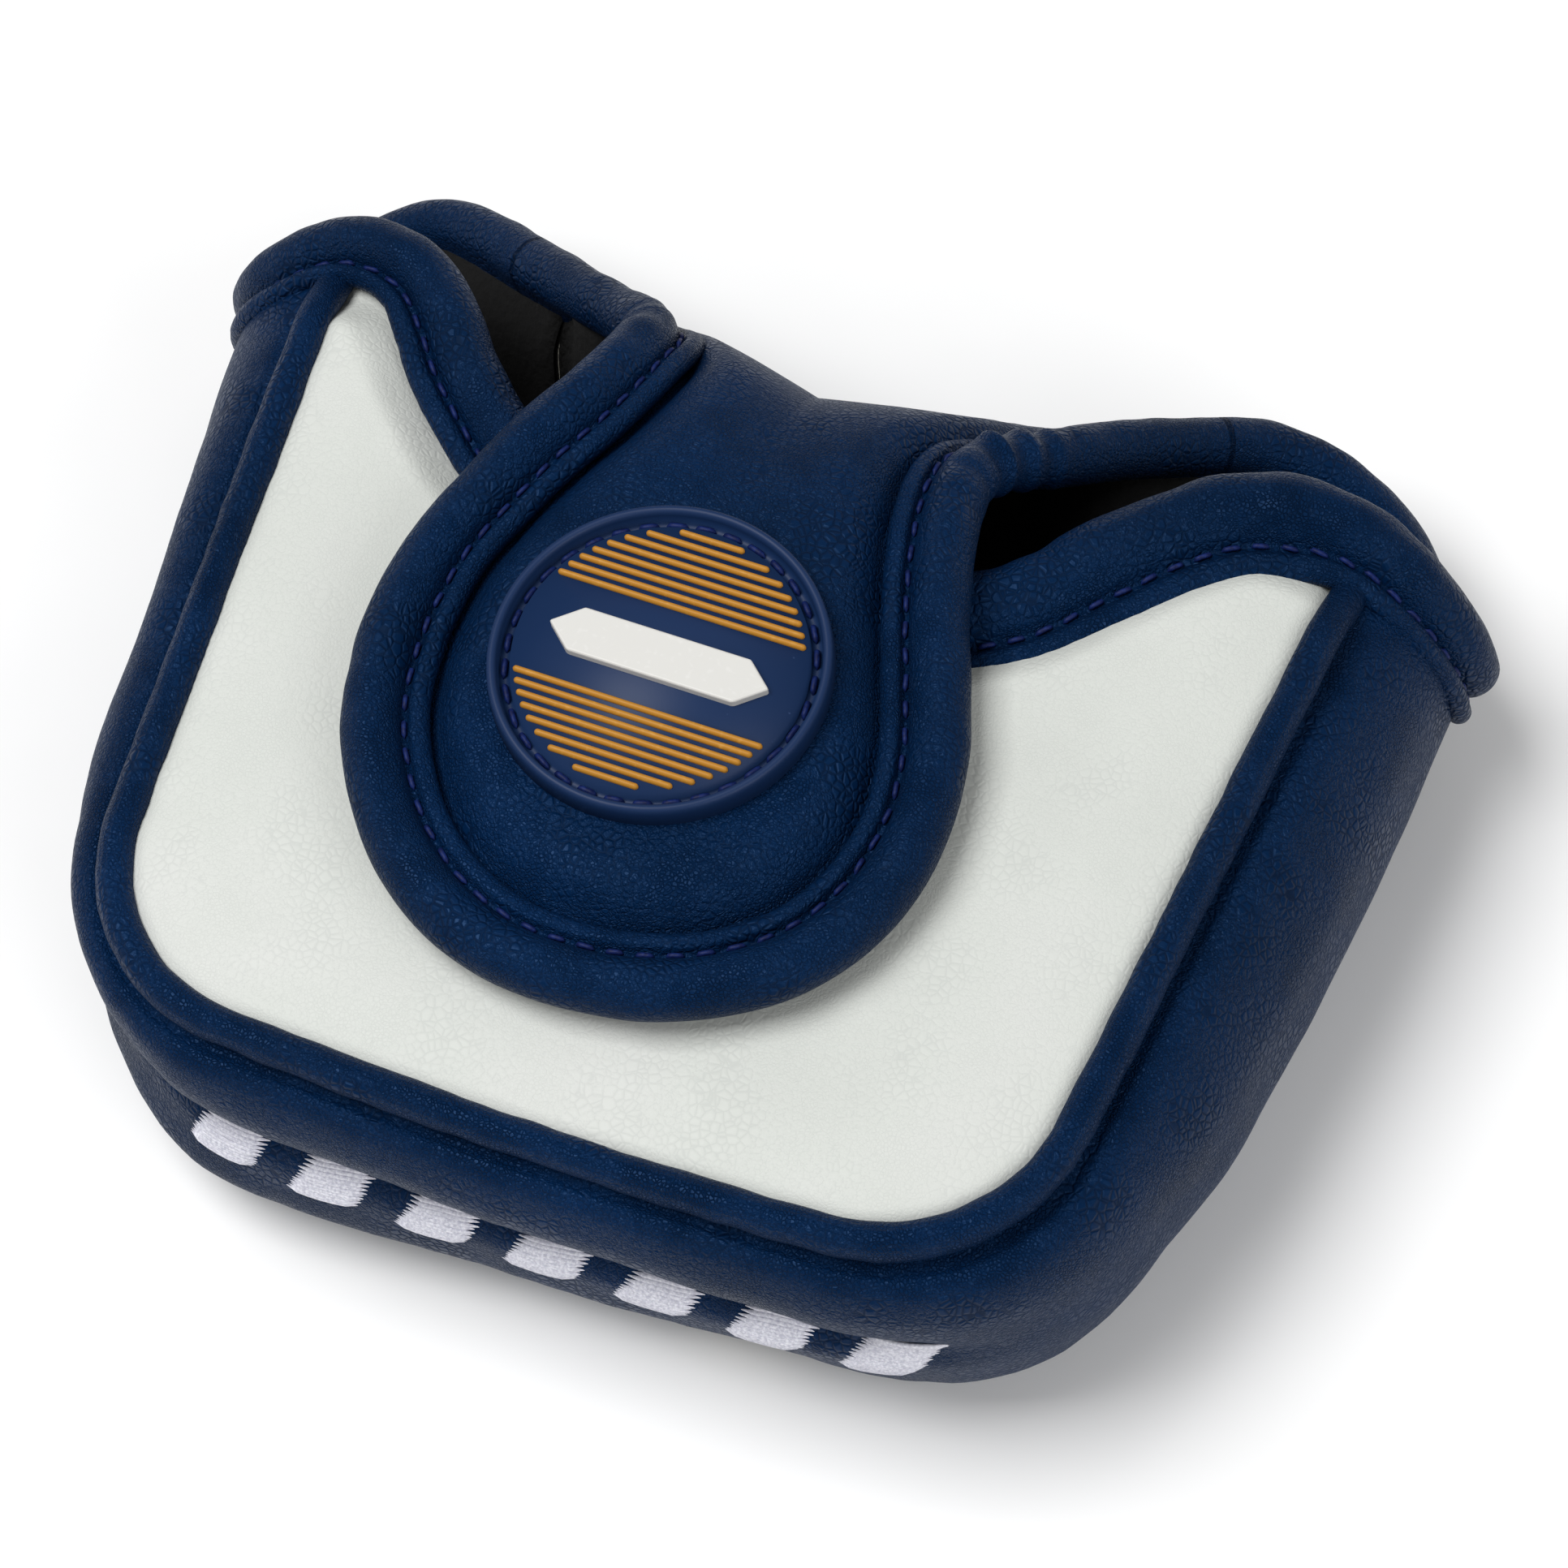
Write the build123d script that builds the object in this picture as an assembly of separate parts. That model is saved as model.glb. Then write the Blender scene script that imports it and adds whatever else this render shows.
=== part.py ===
from build123d import *
import os
from math import atan2, cos, degrees, hypot, radians, sin, tan

# Mallet putter head cover: a padded pouch, open at the back, that lies on its bottom panel, and a
# padded flap that comes up from the bottom panel's mouth edge, over the mouth, and lies on the top
# panel, where two magnets hold it.  X runs across, +Y points out of the mouth, +Z is up.
# All sizes are in millimetres.  The flap's bend along the mouth edge is one hinge line, just
# behind its outer face.

# ---- driving dimensions: pouch --------------------------------------------------------------
POUCH_HEIGHT = 42.0          # bottom panel to top panel, outside
FRONT_Y = -57.5              # outermost line of the front gusset
BACK_Y = 68.0                # back line of the full outline, before the mouth is cut
FRONT_HALF = 65.7            # half width of the bulged outline at the front line
BACK_HALF = 79.6             # and at the back line
FRONT_CORNER = 30.0          # outline corner radii
BACK_CORNER = 24.0
EDGE_RADIUS = 14.0           # how round the gusset turns into the panels

SEAM_FRONT_Y = -50.0         # top panel's seam, under its piping
SEAM_FRONT_HALF = 54.1
SEAM_BACK_HALF = 62.2
SEAM_CORNER = 20.0
BOTTOM_SEAM_INSET = 7.5      # bottom panel's seam, in from the bulged outline

SKIN = 1.2                   # leatherette
FOAM = 3.0                   # padding of the pouch
LINING = 0.8                 # plush lining

PIPING_RADIUS = 2.2
PIPING_CORD_RADIUS = 1.2
PIPING_SINK = 0.5            # piping's centre below the top panel's face
PIPING_LIFT = 0.1            # bottom piping clear of the floor
PIPING_RISE_AFTER = 12.0     # the bottom piping turns up this far behind the start of the curl
PIPING_RISE_RADIUS = 25.0
PIPING_END_Y = 57.0
PIPING_END_Z = 8.0
PIPING_END_IN = 3.5          # in from the bottom panel's seam
BINDING_RADIUS = 3.5         # rolled binding round the mouth and the flap
BINDING_CORD_RADIUS = 2.3
BINDING_GAP = 0.7            # between the mouth's binding and the flap's, where they cross

CURL_START_Y = 28.0          # from here the bottom panel curls up to the mouth edge

# ---- driving dimensions: flap ---------------------------------------------------------------
FLAP_SHIFT = -3.0            # the flap sits this far to one side of the pouch's centre line
FLAP_LIFT = 1.8              # the flap's underside above the top panel
FLAP_FOAM = 3.8
TONGUE_RADIUS = 31.5         # to the middle of the binding
TONGUE_Y = -3.0
NECK_HALF = 22.5
NECK_FILLET = 16.0
SLOPE_START_Y = 29.0         # the flap starts to fall towards the fold here
SLOPE = 13.0                 # degrees
WALL_LEAN = 16.0             # the stretch behind the mouth leans this far forward, in degrees
WALL_Y = 50.7                # a point on its outer face
WALL_Z = 25.5
FOLD_RADIUS = 15.0           # outer radius of the fold over the mouth
SLOPE_RADIUS = 25.0
SPLIT_DROP = 14.5            # the hinge line, below the flap's upper face
SPLIT_GAP = 0.4
HINGE_OUT = 2.0              # hinge axis behind the outer face

# ---- driving dimensions: badge, magnets, thread ---------------------------------------------
BADGE_Y = 2.0
BADGE_RADIUS = 19.0
BADGE_THICK = 3.2
BADGE_FACE = 2.4             # height of the disc inside the rim
BADGE_RIM = 1.1              # width of the raised rim
GROOVE_WIDTH = 1.0
GROOVE_DEPTH = 0.8
STRIPE_MARGIN = 0.7          # stripes stop this far inside the groove
STRIPE_WIDTH = 0.75
STRIPE_PITCH = 1.28
STRIPE_FIRST = 6.4           # first stripe from the badge's centre line
INLAY_SINK = 0.4
INLAY_PROUD = 0.6
BAR_LENGTH = 25.0
BAR_WIDTH = 5.2
BAR_POINT = 3.0

MAGNET_RADIUS = 8.0
MAGNET_THICK = 2.0
MAGNET_Y = -8.0
MAGNET_CLEARANCE = 0.1

STITCH_RADIUS = 0.35
STITCH_LENGTH = 2.3
STITCH_PITCH = 3.6
STITCH_LIFT = 35.0           # degrees up the binding's inner face
MOUTH_STITCHES = (0.30, 0.70)    # stretch of the mouth binding with a row, as shares of its length
FLAP_STITCHES = (0.16, 0.84)     # and of the flap's binding

MARK_COUNT = 7               # satin-stitched bars on the front gusset
MARK_PITCH = 13.5
MARK_WIDTH = 8.0
MARK_LOW_Z = 14.5
MARK_HIGH_Z = 26.0
MARK_SLANT = 4.0
MARK_THICK = 0.6
MARK_CENTRE_X = 2.5

# ---- derived --------------------------------------------------------------------------------
WALL = SKIN + FOAM + LINING
FLAP_THICK = SKIN + FLAP_FOAM + SKIN
FLAP_TOP = POUCH_HEIGHT + FLAP_LIFT + FLAP_THICK     # flap's upper face where it lies flat
SPLIT_Z = FLAP_TOP - SPLIT_DROP                      # below it the pouch, above it the flap
GROOVE_OUTER = BADGE_RADIUS - BADGE_RIM
GROOVE_INNER = GROOVE_OUTER - GROOVE_WIDTH
STRIPE_LIMIT = GROOVE_INNER - STRIPE_MARGIN
FAR = 200.0                  # larger than the object, for cutters
POUCH_LAYERS = {"skin": (0.0, SKIN), "foam": (SKIN, SKIN + FOAM), "lining": (SKIN + FOAM, WALL)}
FLAP_LAYERS = {"skin": (0.0, SKIN), "foam": (SKIN, SKIN + FLAP_FOAM),
               "lining": (SKIN + FLAP_FOAM, FLAP_THICK)}
BINDING_Z = FLAP_TOP - FLAP_THICK / 2 - 2 * BINDING_RADIUS - BINDING_GAP
BULGE_SLOPE = (BACK_HALF - FRONT_HALF) / (BACK_Y - FRONT_Y)
SEAM_SLOPE = (SEAM_BACK_HALF - SEAM_FRONT_HALF) / (BACK_Y - SEAM_FRONT_Y)


def bulged_half(y):
    """Half width of the bulged outline at y, where its side is straight."""
    return FRONT_HALF + BULGE_SLOPE * (y - FRONT_Y)


def seam_half(y):
    return SEAM_FRONT_HALF + SEAM_SLOPE * (y - SEAM_FRONT_Y)


def bottom_seam_half(y):
    return bulged_half(y) - BOTTOM_SEAM_INSET * hypot(1.0, BULGE_SLOPE)


# Middle of the mouth binding, right-hand half, from under the flap, round the top panel's ear,
# down the gusset's end, round the bottom panel's ear and up to the flap's root: a share of the
# way out from the flap's neck to the widest point, y, z, and how much of the flap's sideways
# shift the point follows.
WIDEST_Y = 46.5
MOUTH_ROUTE_SHARES = [
    (-0.064, 21.5, BINDING_Z, 0.0),
    (0.219, 30.5, BINDING_Z, 0.0),
    (0.430, 44.5, BINDING_Z + 0.5, 0.0),
    (0.685, 48.5, BINDING_Z - 0.5, 0.0),
    (0.896, 45.5, BINDING_Z - 8.2, 0.0),
    (0.969, WIDEST_Y, 20.0, 0.0),
    (0.914, 55.5, 13.5, 0.0),
    (0.722, 63.5, 15.0, 0.0),
    (0.503, 64.5, 19.5, 0.2),
    (0.256, 57.0, 25.5, 0.7),
    (0.0, 47.3, 26.0, 1.0),
]
MOUTH_SPREAD = bulged_half(WIDEST_Y) - NECK_HALF
MOUTH_ROUTE = [(NECK_HALF + share * MOUTH_SPREAD, y, z, follow)
               for share, y, z, follow in MOUTH_ROUTE_SHARES]
MOUTH_TOP_POINTS = 4         # how many of them lie on the top panel
EAR_STEEPNESS = 52.0         # the curl's slope at the ears, in degrees
EAR_REACH = 30.0             # how far out from the flap's neck it has eased to that
CURL_NARROWEST = 2.0         # least width of the curl's strip beside the flap's neck
CURL_STATIONS = 5            # how many of the route's last points the curl is lofted through
CURL_SIDE_LINE = [(56.0, 9.5), (44.0, 2.0), (CURL_START_Y, -1.0)]   # gusset's lower edge, (y, z)


def rounded_path(points, share=0.45):
    """Straight runs joined by tangent arcs, each as large as its two runs allow."""
    vectors = [Vector(*p) for p in points]
    radii = []
    for before, corner, after in zip(vectors, vectors[1:], vectors[2:]):
        run = min((corner - before).length, (after - corner).length)
        turn = (corner - before).get_angle(after - corner)
        radii.append(share * run / tan(radians(turn / 2)))
    return FilletPolyline(*vectors, radius=radii).wire()


def tube(path, radius):
    return sweep((path ^ 0) * Circle(radius), path=path).solid()


def main_solid(shape):
    """The body of a cut piece, without the crumbs that a cut leaves."""
    return max(shape.solids(), key=lambda solid: solid.volume)


def line_crossing(point_a, angle_a, point_b, angle_b):
    """Where two lines of the side view cross; points are (y, z), angles in degrees from +Y."""
    ya, za = point_a
    yb, zb = point_b
    ca, sa = cos(radians(angle_a)), sin(radians(angle_a))
    cb, sb = cos(radians(angle_b)), sin(radians(angle_b))
    along = ((yb - ya) * sb - (zb - za) * cb) / (ca * sb - sa * cb)
    return ya + along * ca, za + along * sa


# ---- pouch outlines -------------------------------------------------------------------------
def trapezoid(front_y, front_half, back_y, back_half, front_radius, back_radius):
    points = [(-front_half, front_y), (front_half, front_y), (back_half, back_y), (-back_half, back_y)]
    outline = make_face(Polyline(*points, close=True))
    front = outline.vertices().filter_by(lambda v: v.Y < 0)
    outline = fillet(front, front_radius)
    back = outline.vertices().filter_by(lambda v: abs(v.Y - back_y) < 1e-6)
    return fillet(back, back_radius)


def bulged_outline(inset=0.0):
    outline = trapezoid(FRONT_Y, FRONT_HALF, BACK_Y, BACK_HALF, FRONT_CORNER, BACK_CORNER)
    return offset(outline, amount=-inset) if inset else outline


def prism(outline, low, high):
    return extrude(Pos(0, 0, low) * outline, high - low)


def top_seam_prism():
    outline = trapezoid(SEAM_FRONT_Y, SEAM_FRONT_HALF, BACK_Y, SEAM_BACK_HALF, SEAM_CORNER, 1.0)
    return prism(outline, POUCH_HEIGHT / 2, FAR)


def bottom_seam_prism(top=POUCH_HEIGHT / 2):
    return prism(bulged_outline(BOTTOM_SEAM_INSET), -FAR, top)


def pouch_block(inset):
    block = prism(bulged_outline(inset), inset, POUCH_HEIGHT - inset)
    ends = block.faces().filter_by(Axis.Z)
    return fillet(ends.edges(), EDGE_RADIUS - inset)


def pouch_layer(name):
    outer, inner = POUCH_LAYERS[name]
    return pouch_block(outer) - pouch_block(inner)


# ---- mouth ----------------------------------------------------------------------------------
def mouth_route():
    """The route with its last run, which follows the flap's neck up to the hinge line."""
    return MOUTH_ROUTE + [(NECK_HALF, *split_point(FLAP_THICK / 2), 1.0)]


def mouth_points(side):
    return [(side * x + FLAP_SHIFT * follow, y, z) for x, y, z, follow in mouth_route()]


def mouth_path():
    return rounded_path(mouth_points(-1)[::-1] + mouth_points(1))


def front_of_scoop():
    """Everything in front of the top panel's mouth edge, seen from above."""
    left = [(x, y) for x, y, z in mouth_points(-1)[:MOUTH_TOP_POINTS]]
    right = [(x, y) for x, y, z in mouth_points(1)[:MOUTH_TOP_POINTS]]
    edge_y = right[-1][1]
    points = [(-FAR, edge_y)] + left[::-1] + right + [(FAR, edge_y), (FAR, -FAR), (-FAR, -FAR)]
    return prism(make_face(Polyline(*points, close=True)), 0.0, FAR)


def front_of_gusset_end():
    """Everything in front of the gusset's mouth end and above the curled bottom, side view."""
    end = [(y, z) for x, y, z in mouth_points(1)[MOUTH_TOP_POINTS - 1:MOUTH_TOP_POINTS + 4]]
    points = ([(end[0][0], FAR)] + end + CURL_SIDE_LINE
              + [(CURL_START_Y, -FAR), (-FAR, -FAR), (-FAR, FAR)])
    outline = Plane.YZ * make_face(Polyline(*points, close=True))
    return extrude(outline, FAR, both=True)


# ---- curled back of the bottom panel --------------------------------------------------------
def curl_section(x, end_y, end_z, end_angle, outer, inner):
    """Closed section of one layer: from the flat bottom, round and up to the mouth edge."""
    def edge(depth):
        start = (x, CURL_START_Y, depth)
        normal_y = sin(radians(end_angle))
        normal_z = -cos(radians(end_angle))
        end = (x, end_y - depth * normal_y, end_z - depth * normal_z)
        tangents = [(0, 1, 0), (0, cos(radians(end_angle)), sin(radians(end_angle)))]
        return Spline(start, end, tangents=tangents)
    outer_edge = edge(outer)
    inner_edge = edge(inner)
    caps = [Line(outer_edge @ 1, inner_edge @ 1), Line(inner_edge @ 0, outer_edge @ 0)]
    return make_face([outer_edge, caps[0], inner_edge, caps[1]])


def curl_stations():
    """x, y, z and steepness of the outer face's top edge, from left to right."""
    steepest = 90.0 + WALL_LEAN
    half = WALL / 2
    right = [(0.0, *split_point(0.0), steepest, 1.0), (NECK_HALF, *split_point(0.0), steepest, 1.0)]
    for x, y, z, follow in MOUTH_ROUTE[:-CURL_STATIONS - 1:-1]:
        out = min(1.0, (x - NECK_HALF) / EAR_REACH)
        steep = steepest + (EAR_STEEPNESS - steepest) * out
        x = max(x, NECK_HALF + CURL_NARROWEST)
        right.append((x, y + half * sin(radians(steep)), z - half * cos(radians(steep)), steep, follow))
    left = [(-x + FLAP_SHIFT * follow, y, z, steep) for x, y, z, steep, follow in right[:0:-1]]
    return left + [(x + FLAP_SHIFT * follow, y, z, steep) for x, y, z, steep, follow in right]


def curl_layer(name):
    outer, inner = POUCH_LAYERS[name]
    return loft([curl_section(*station, outer, inner) for station in curl_stations()], ruled=True)


# ---- pipings --------------------------------------------------------------------------------
def top_piping_path():
    z = POUCH_HEIGHT - PIPING_SINK
    end_y = MOUTH_ROUTE[MOUTH_TOP_POINTS - 1][1]
    half = seam_half(end_y)
    points = [(-half, end_y, z), (-SEAM_FRONT_HALF, SEAM_FRONT_Y, z),
              (SEAM_FRONT_HALF, SEAM_FRONT_Y, z), (half, end_y, z)]
    return FilletPolyline(*points, radius=SEAM_CORNER).wire()


def bottom_piping_path():
    """Round the front and sides near the floor, then up with the curled back."""
    z = PIPING_RADIUS + PIPING_LIFT
    half_front = bottom_seam_half(FRONT_Y + BOTTOM_SEAM_INSET)
    rise_y = CURL_START_Y + PIPING_RISE_AFTER
    corner_radius = FRONT_CORNER - BOTTOM_SEAM_INSET
    right = [(half_front, FRONT_Y + BOTTOM_SEAM_INSET, z), (bottom_seam_half(rise_y), rise_y, z),
             (bottom_seam_half(PIPING_END_Y) - PIPING_END_IN, PIPING_END_Y, PIPING_END_Z)]
    left = [(-x, y, z) for x, y, z in right]
    return FilletPolyline(*(left[::-1] + right), radius=[PIPING_RISE_RADIUS, corner_radius,
                                                         corner_radius, PIPING_RISE_RADIUS]).wire()


# ---- flap -----------------------------------------------------------------------------------
def split_point(depth):
    """Where the hinge line meets the face at this depth below the flap's outer face."""
    lean = radians(90.0 + WALL_LEAN)
    along = (SPLIT_Z - WALL_Z) / sin(lean)
    y = WALL_Y + along * cos(lean)
    return y - depth * sin(lean), SPLIT_Z + depth * cos(lean)


def flap_corners(depth):
    """Side view of one face of the flap: tongue end, slope start, fold, hinge line; (y, z)."""
    flat_z = FLAP_TOP - depth
    slope_angle = -SLOPE
    lean = 90.0 + WALL_LEAN
    slope_point = (SLOPE_START_Y - depth * sin(radians(SLOPE)), FLAP_TOP - depth * cos(radians(SLOPE)))
    end = split_point(depth)
    bend = line_crossing((0.0, flat_z), 0.0, slope_point, slope_angle)
    fold = line_crossing(slope_point, slope_angle, end, lean)
    gap_end = (end[0] + SPLIT_GAP * cos(radians(lean)), end[1] + SPLIT_GAP * sin(radians(lean)))
    return bend, fold, gap_end


def flap_face_line(depth, start_y):
    bend, fold, end = flap_corners(depth)
    points = [(start_y, FLAP_TOP - depth), bend, fold, end]
    return FilletPolyline(*points, radius=[SLOPE_RADIUS - depth, FOLD_RADIUS - depth])


def flap_band(outer, inner):
    """A full-width band between two depths, before it is cut to the tongue's outline."""
    start_y = TONGUE_Y - 2 * TONGUE_RADIUS
    top = flap_face_line(outer, start_y)
    under = flap_face_line(inner, start_y)
    section = make_face([top, under, Line(top @ 0, under @ 0), Line(top @ 1, under @ 1)])
    return extrude(Plane.YZ * section, 2 * TONGUE_RADIUS, both=True)


def tongue_outline():
    """Plan of the flap, to the middle of its binding."""
    disc = Pos(0, TONGUE_Y) * Circle(TONGUE_RADIUS)
    neck_length = BACK_Y - TONGUE_Y
    neck = Pos(0, TONGUE_Y + neck_length / 2) * Rectangle(2 * NECK_HALF, neck_length)
    outline = disc + neck
    inner = outline.vertices().filter_by(lambda v: v.Y < BACK_Y - 1)
    return fillet(inner, NECK_FILLET)


def flap_layer(name):
    outer, inner = FLAP_LAYERS[name]
    cut = Pos(FLAP_SHIFT, 0) * prism(tongue_outline(), 0.0, FAR)
    return flap_band(outer, inner) & cut


def tongue_arc_geometry():
    """Height of the neck fillet's centre and the angle at which it meets the tongue's arc."""
    reach = TONGUE_RADIUS + NECK_FILLET
    centre_x = NECK_HALF + NECK_FILLET
    rise = (reach ** 2 - centre_x ** 2) ** 0.5
    return centre_x, TONGUE_Y + rise, degrees(atan2(rise, centre_x))


def flap_binding_path():
    """Middle of the flap's binding: up from the hinge line, along the neck, round the tongue."""
    depth = FLAP_THICK / 2
    z = FLAP_TOP - depth
    centre_x, centre_y, meet = tongue_arc_geometry()
    bend, fold, end = flap_corners(depth)

    def neck(side):
        points = [(side * NECK_HALF, *end), (side * NECK_HALF, *fold), (side * NECK_HALF, *bend),
                  (side * NECK_HALF, centre_y, z)]
        line = FilletPolyline(*points, radius=[FOLD_RADIUS - depth, SLOPE_RADIUS - depth])
        return line.edges()

    flat = Plane.XY.offset(z)
    right = flat * CenterArc((centre_x, centre_y), NECK_FILLET, 180, meet)
    left = flat * CenterArc((-centre_x, centre_y), NECK_FILLET, -meet, meet)
    tongue = flat * CenterArc((0, TONGUE_Y), TONGUE_RADIUS, 180 - meet, 180 + 2 * meet)
    return Pos(FLAP_SHIFT, 0, 0) * Wire(neck(1) + [right.edge(), left.edge(), tongue.edge()] + neck(-1))


# ---- badge ----------------------------------------------------------------------------------
def badge_place(height=0.0):
    return Pos(FLAP_SHIFT, BADGE_Y, FLAP_TOP + height)


def stripe_outline(y):
    half = (STRIPE_LIMIT ** 2 - (abs(y) + STRIPE_WIDTH / 2) ** 2) ** 0.5
    return Pos(0, y) * SlotOverall(2 * half, STRIPE_WIDTH)


def stripe_outlines():
    count = int((STRIPE_LIMIT - STRIPE_WIDTH - STRIPE_FIRST) / STRIPE_PITCH) + 1
    rows = [STRIPE_FIRST + STRIPE_PITCH * i for i in range(count)]
    return [stripe_outline(side * y) for side in (-1, 1) for y in rows]


def bar_outline():
    straight = BAR_LENGTH / 2 - BAR_POINT
    half = BAR_WIDTH / 2
    points = [(BAR_LENGTH / 2, 0), (straight, half), (-straight, half),
              (-BAR_LENGTH / 2, 0), (-straight, -half), (straight, -half)]
    return make_face(Polyline(*points, close=True))


def inlay(outline):
    height = BADGE_FACE - INLAY_SINK
    return badge_place(height) * extrude(outline, INLAY_SINK + INLAY_PROUD)


def badge_base():
    base = extrude(Circle(BADGE_RADIUS), BADGE_THICK)
    base -= Pos(0, 0, BADGE_FACE) * extrude(Circle(GROOVE_OUTER), BADGE_THICK)
    groove = Circle(GROOVE_OUTER) - Circle(GROOVE_INNER)
    base -= Pos(0, 0, BADGE_FACE - GROOVE_DEPTH) * extrude(groove, BADGE_THICK)
    return badge_place() * base


# ---- magnets --------------------------------------------------------------------------------
def magnet(face_z, clearance=0.0):
    disc = Cylinder(MAGNET_RADIUS + clearance, MAGNET_THICK + 2 * clearance)
    return Pos(FLAP_SHIFT, MAGNET_Y, face_z) * disc


# ---- thread ---------------------------------------------------------------------------------
def stitch_row(path, start, end, seat):
    """Short bars of thread along part of a path, each moved by seat(tangent) off its line."""
    count = int((end - start) * path.length / STITCH_PITCH)
    bar = Cylinder(STITCH_RADIUS, STITCH_LENGTH)
    stitches = []
    for i in range(count):
        at = start + (end - start) * (i + 0.5) / count
        tangent = path % at
        place = path @ at + seat(tangent)
        stitches.append(Plane(place, z_dir=tangent) * bar)
    return Compound(stitches)


def beside_binding(tangent):
    """From the middle of a level binding to its inner face, a third of the way up."""
    inward = Vector(0, 0, 1).cross(tangent).normalized()
    lift = radians(STITCH_LIFT)
    return (inward * cos(lift) + Vector(0, 0, 1) * sin(lift)) * (BINDING_RADIUS + STITCH_RADIUS)


def badge_stitches():
    ring = badge_place(BADGE_FACE - GROOVE_DEPTH + STITCH_RADIUS) * Edge.make_circle(
        (GROOVE_OUTER + GROOVE_INNER) / 2)
    return stitch_row(ring, 0.0, 1.0, lambda tangent: Vector(0, 0, 0))


def front_marks():
    marks = []
    for i in range(MARK_COUNT):
        x = MARK_CENTRE_X + (i - (MARK_COUNT - 1) / 2) * MARK_PITCH
        low = x - MARK_SLANT / 2
        high = x + MARK_SLANT / 2
        half = MARK_WIDTH / 2
        points = [(low - half, MARK_LOW_Z), (low + half, MARK_LOW_Z),
                  (high + half, MARK_HIGH_Z), (high - half, MARK_HIGH_Z)]
        outline = Plane.XZ * make_face(Polyline(*points, close=True))
        marks.append(Pos(0, FRONT_Y, 0) * extrude(outline, MARK_THICK))
    return Compound(marks)


# ---- assembly -------------------------------------------------------------------------------
def build_pouch():
    path = mouth_path()
    roll = tube(path, BINDING_RADIUS)
    core = tube(path, BINDING_CORD_RADIUS)
    top_line, bottom_line = top_piping_path(), bottom_piping_path()
    top_roll = tube(top_line, PIPING_RADIUS) - roll
    bottom_roll = tube(bottom_line, PIPING_RADIUS) - roll
    top_cord = tube(top_line, PIPING_CORD_RADIUS) - roll
    bottom_cord = tube(bottom_line, PIPING_CORD_RADIUS) - roll
    nodes = {
        "mouth_binding": roll - core,
        "mouth_binding_filler": core,
        "top_piping": main_solid(top_roll - top_cord),
        "top_piping_cord": main_solid(top_cord),
        "bottom_piping": main_solid(bottom_roll - bottom_cord),
        "bottom_piping_cord": main_solid(bottom_cord),
    }
    top_seam, bottom_seam = top_seam_prism(), bottom_seam_prism()
    curl_start = Pos(0, CURL_START_Y + FAR, 0) * Box(2 * FAR, 2 * FAR, 2 * FAR)
    for name in POUCH_LAYERS:
        layer = pouch_layer(name)
        top = (layer & top_seam & front_of_scoop()) - roll - top_roll
        gusset = (layer & front_of_gusset_end()) - top_seam - bottom_seam - roll - top_roll - bottom_roll
        curl = curl_layer(name) & bottom_seam_prism(FAR)
        bottom = ((layer & bottom_seam) - curl_start + curl) - roll - bottom_roll - bottom_cord
        nodes["top_panel_" + name] = main_solid(top)
        nodes["gusset_" + name] = main_solid(gusset)
        nodes["bottom_panel_" + name] = main_solid(bottom)
    top_magnet_z = POUCH_HEIGHT - SKIN - FOAM / 2
    nodes["top_panel_foam"] -= magnet(top_magnet_z, MAGNET_CLEARANCE)
    nodes["top_panel_magnet"] = magnet(top_magnet_z)
    nodes["mouth_stitching"] = mouth_stitches(path)
    nodes["front_embroidery"] = front_marks()
    return nodes


def mouth_stitches(path):
    """One row on each side of the flap, along the top panel's scooped edge."""
    return stitch_row(path, *MOUTH_STITCHES, beside_binding)


def build_flap():
    path = flap_binding_path()
    roll = tube(path, BINDING_RADIUS)
    core = tube(path, BINDING_CORD_RADIUS)
    nodes = {"flap_binding": roll - core, "flap_binding_filler": core}
    for name in FLAP_LAYERS:
        nodes["flap_" + name] = main_solid(flap_layer(name) - roll)
    magnet_z = FLAP_TOP - SKIN - FLAP_FOAM / 2
    nodes["flap_foam"] -= magnet(magnet_z, MAGNET_CLEARANCE)
    nodes["flap_magnet"] = magnet(magnet_z)
    stripes = [inlay(outline) for outline in stripe_outlines()]
    bar = inlay(bar_outline())
    base = badge_base() - bar
    for stripe in stripes:
        base -= stripe
    nodes["badge_base"] = base
    nodes["badge_stripes"] = Compound([stripe.solid() for stripe in stripes])
    nodes["badge_bar"] = bar
    nodes["badge_stitching"] = badge_stitches()
    nodes["flap_stitching"] = stitch_row(path, *FLAP_STITCHES, beside_binding)
    return nodes


def write_parts():
    nodes = build_pouch() | build_flap()
    box = Compound(list(nodes.values())).bounding_box()
    shift = Pos(-box.center().X, -box.center().Y, -box.min.Z)
    os.makedirs("parts", exist_ok=True)
    for name, shape in nodes.items():
        export_step(shift * shape, f"parts/{name}.step")
    hinge_y, hinge_z = split_point(-HINGE_OUT)
    print("size", box.size, "shift", shift.position)
    print("hinge y", hinge_y + shift.position.Y, "z", hinge_z + shift.position.Z)


write_parts()
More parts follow.
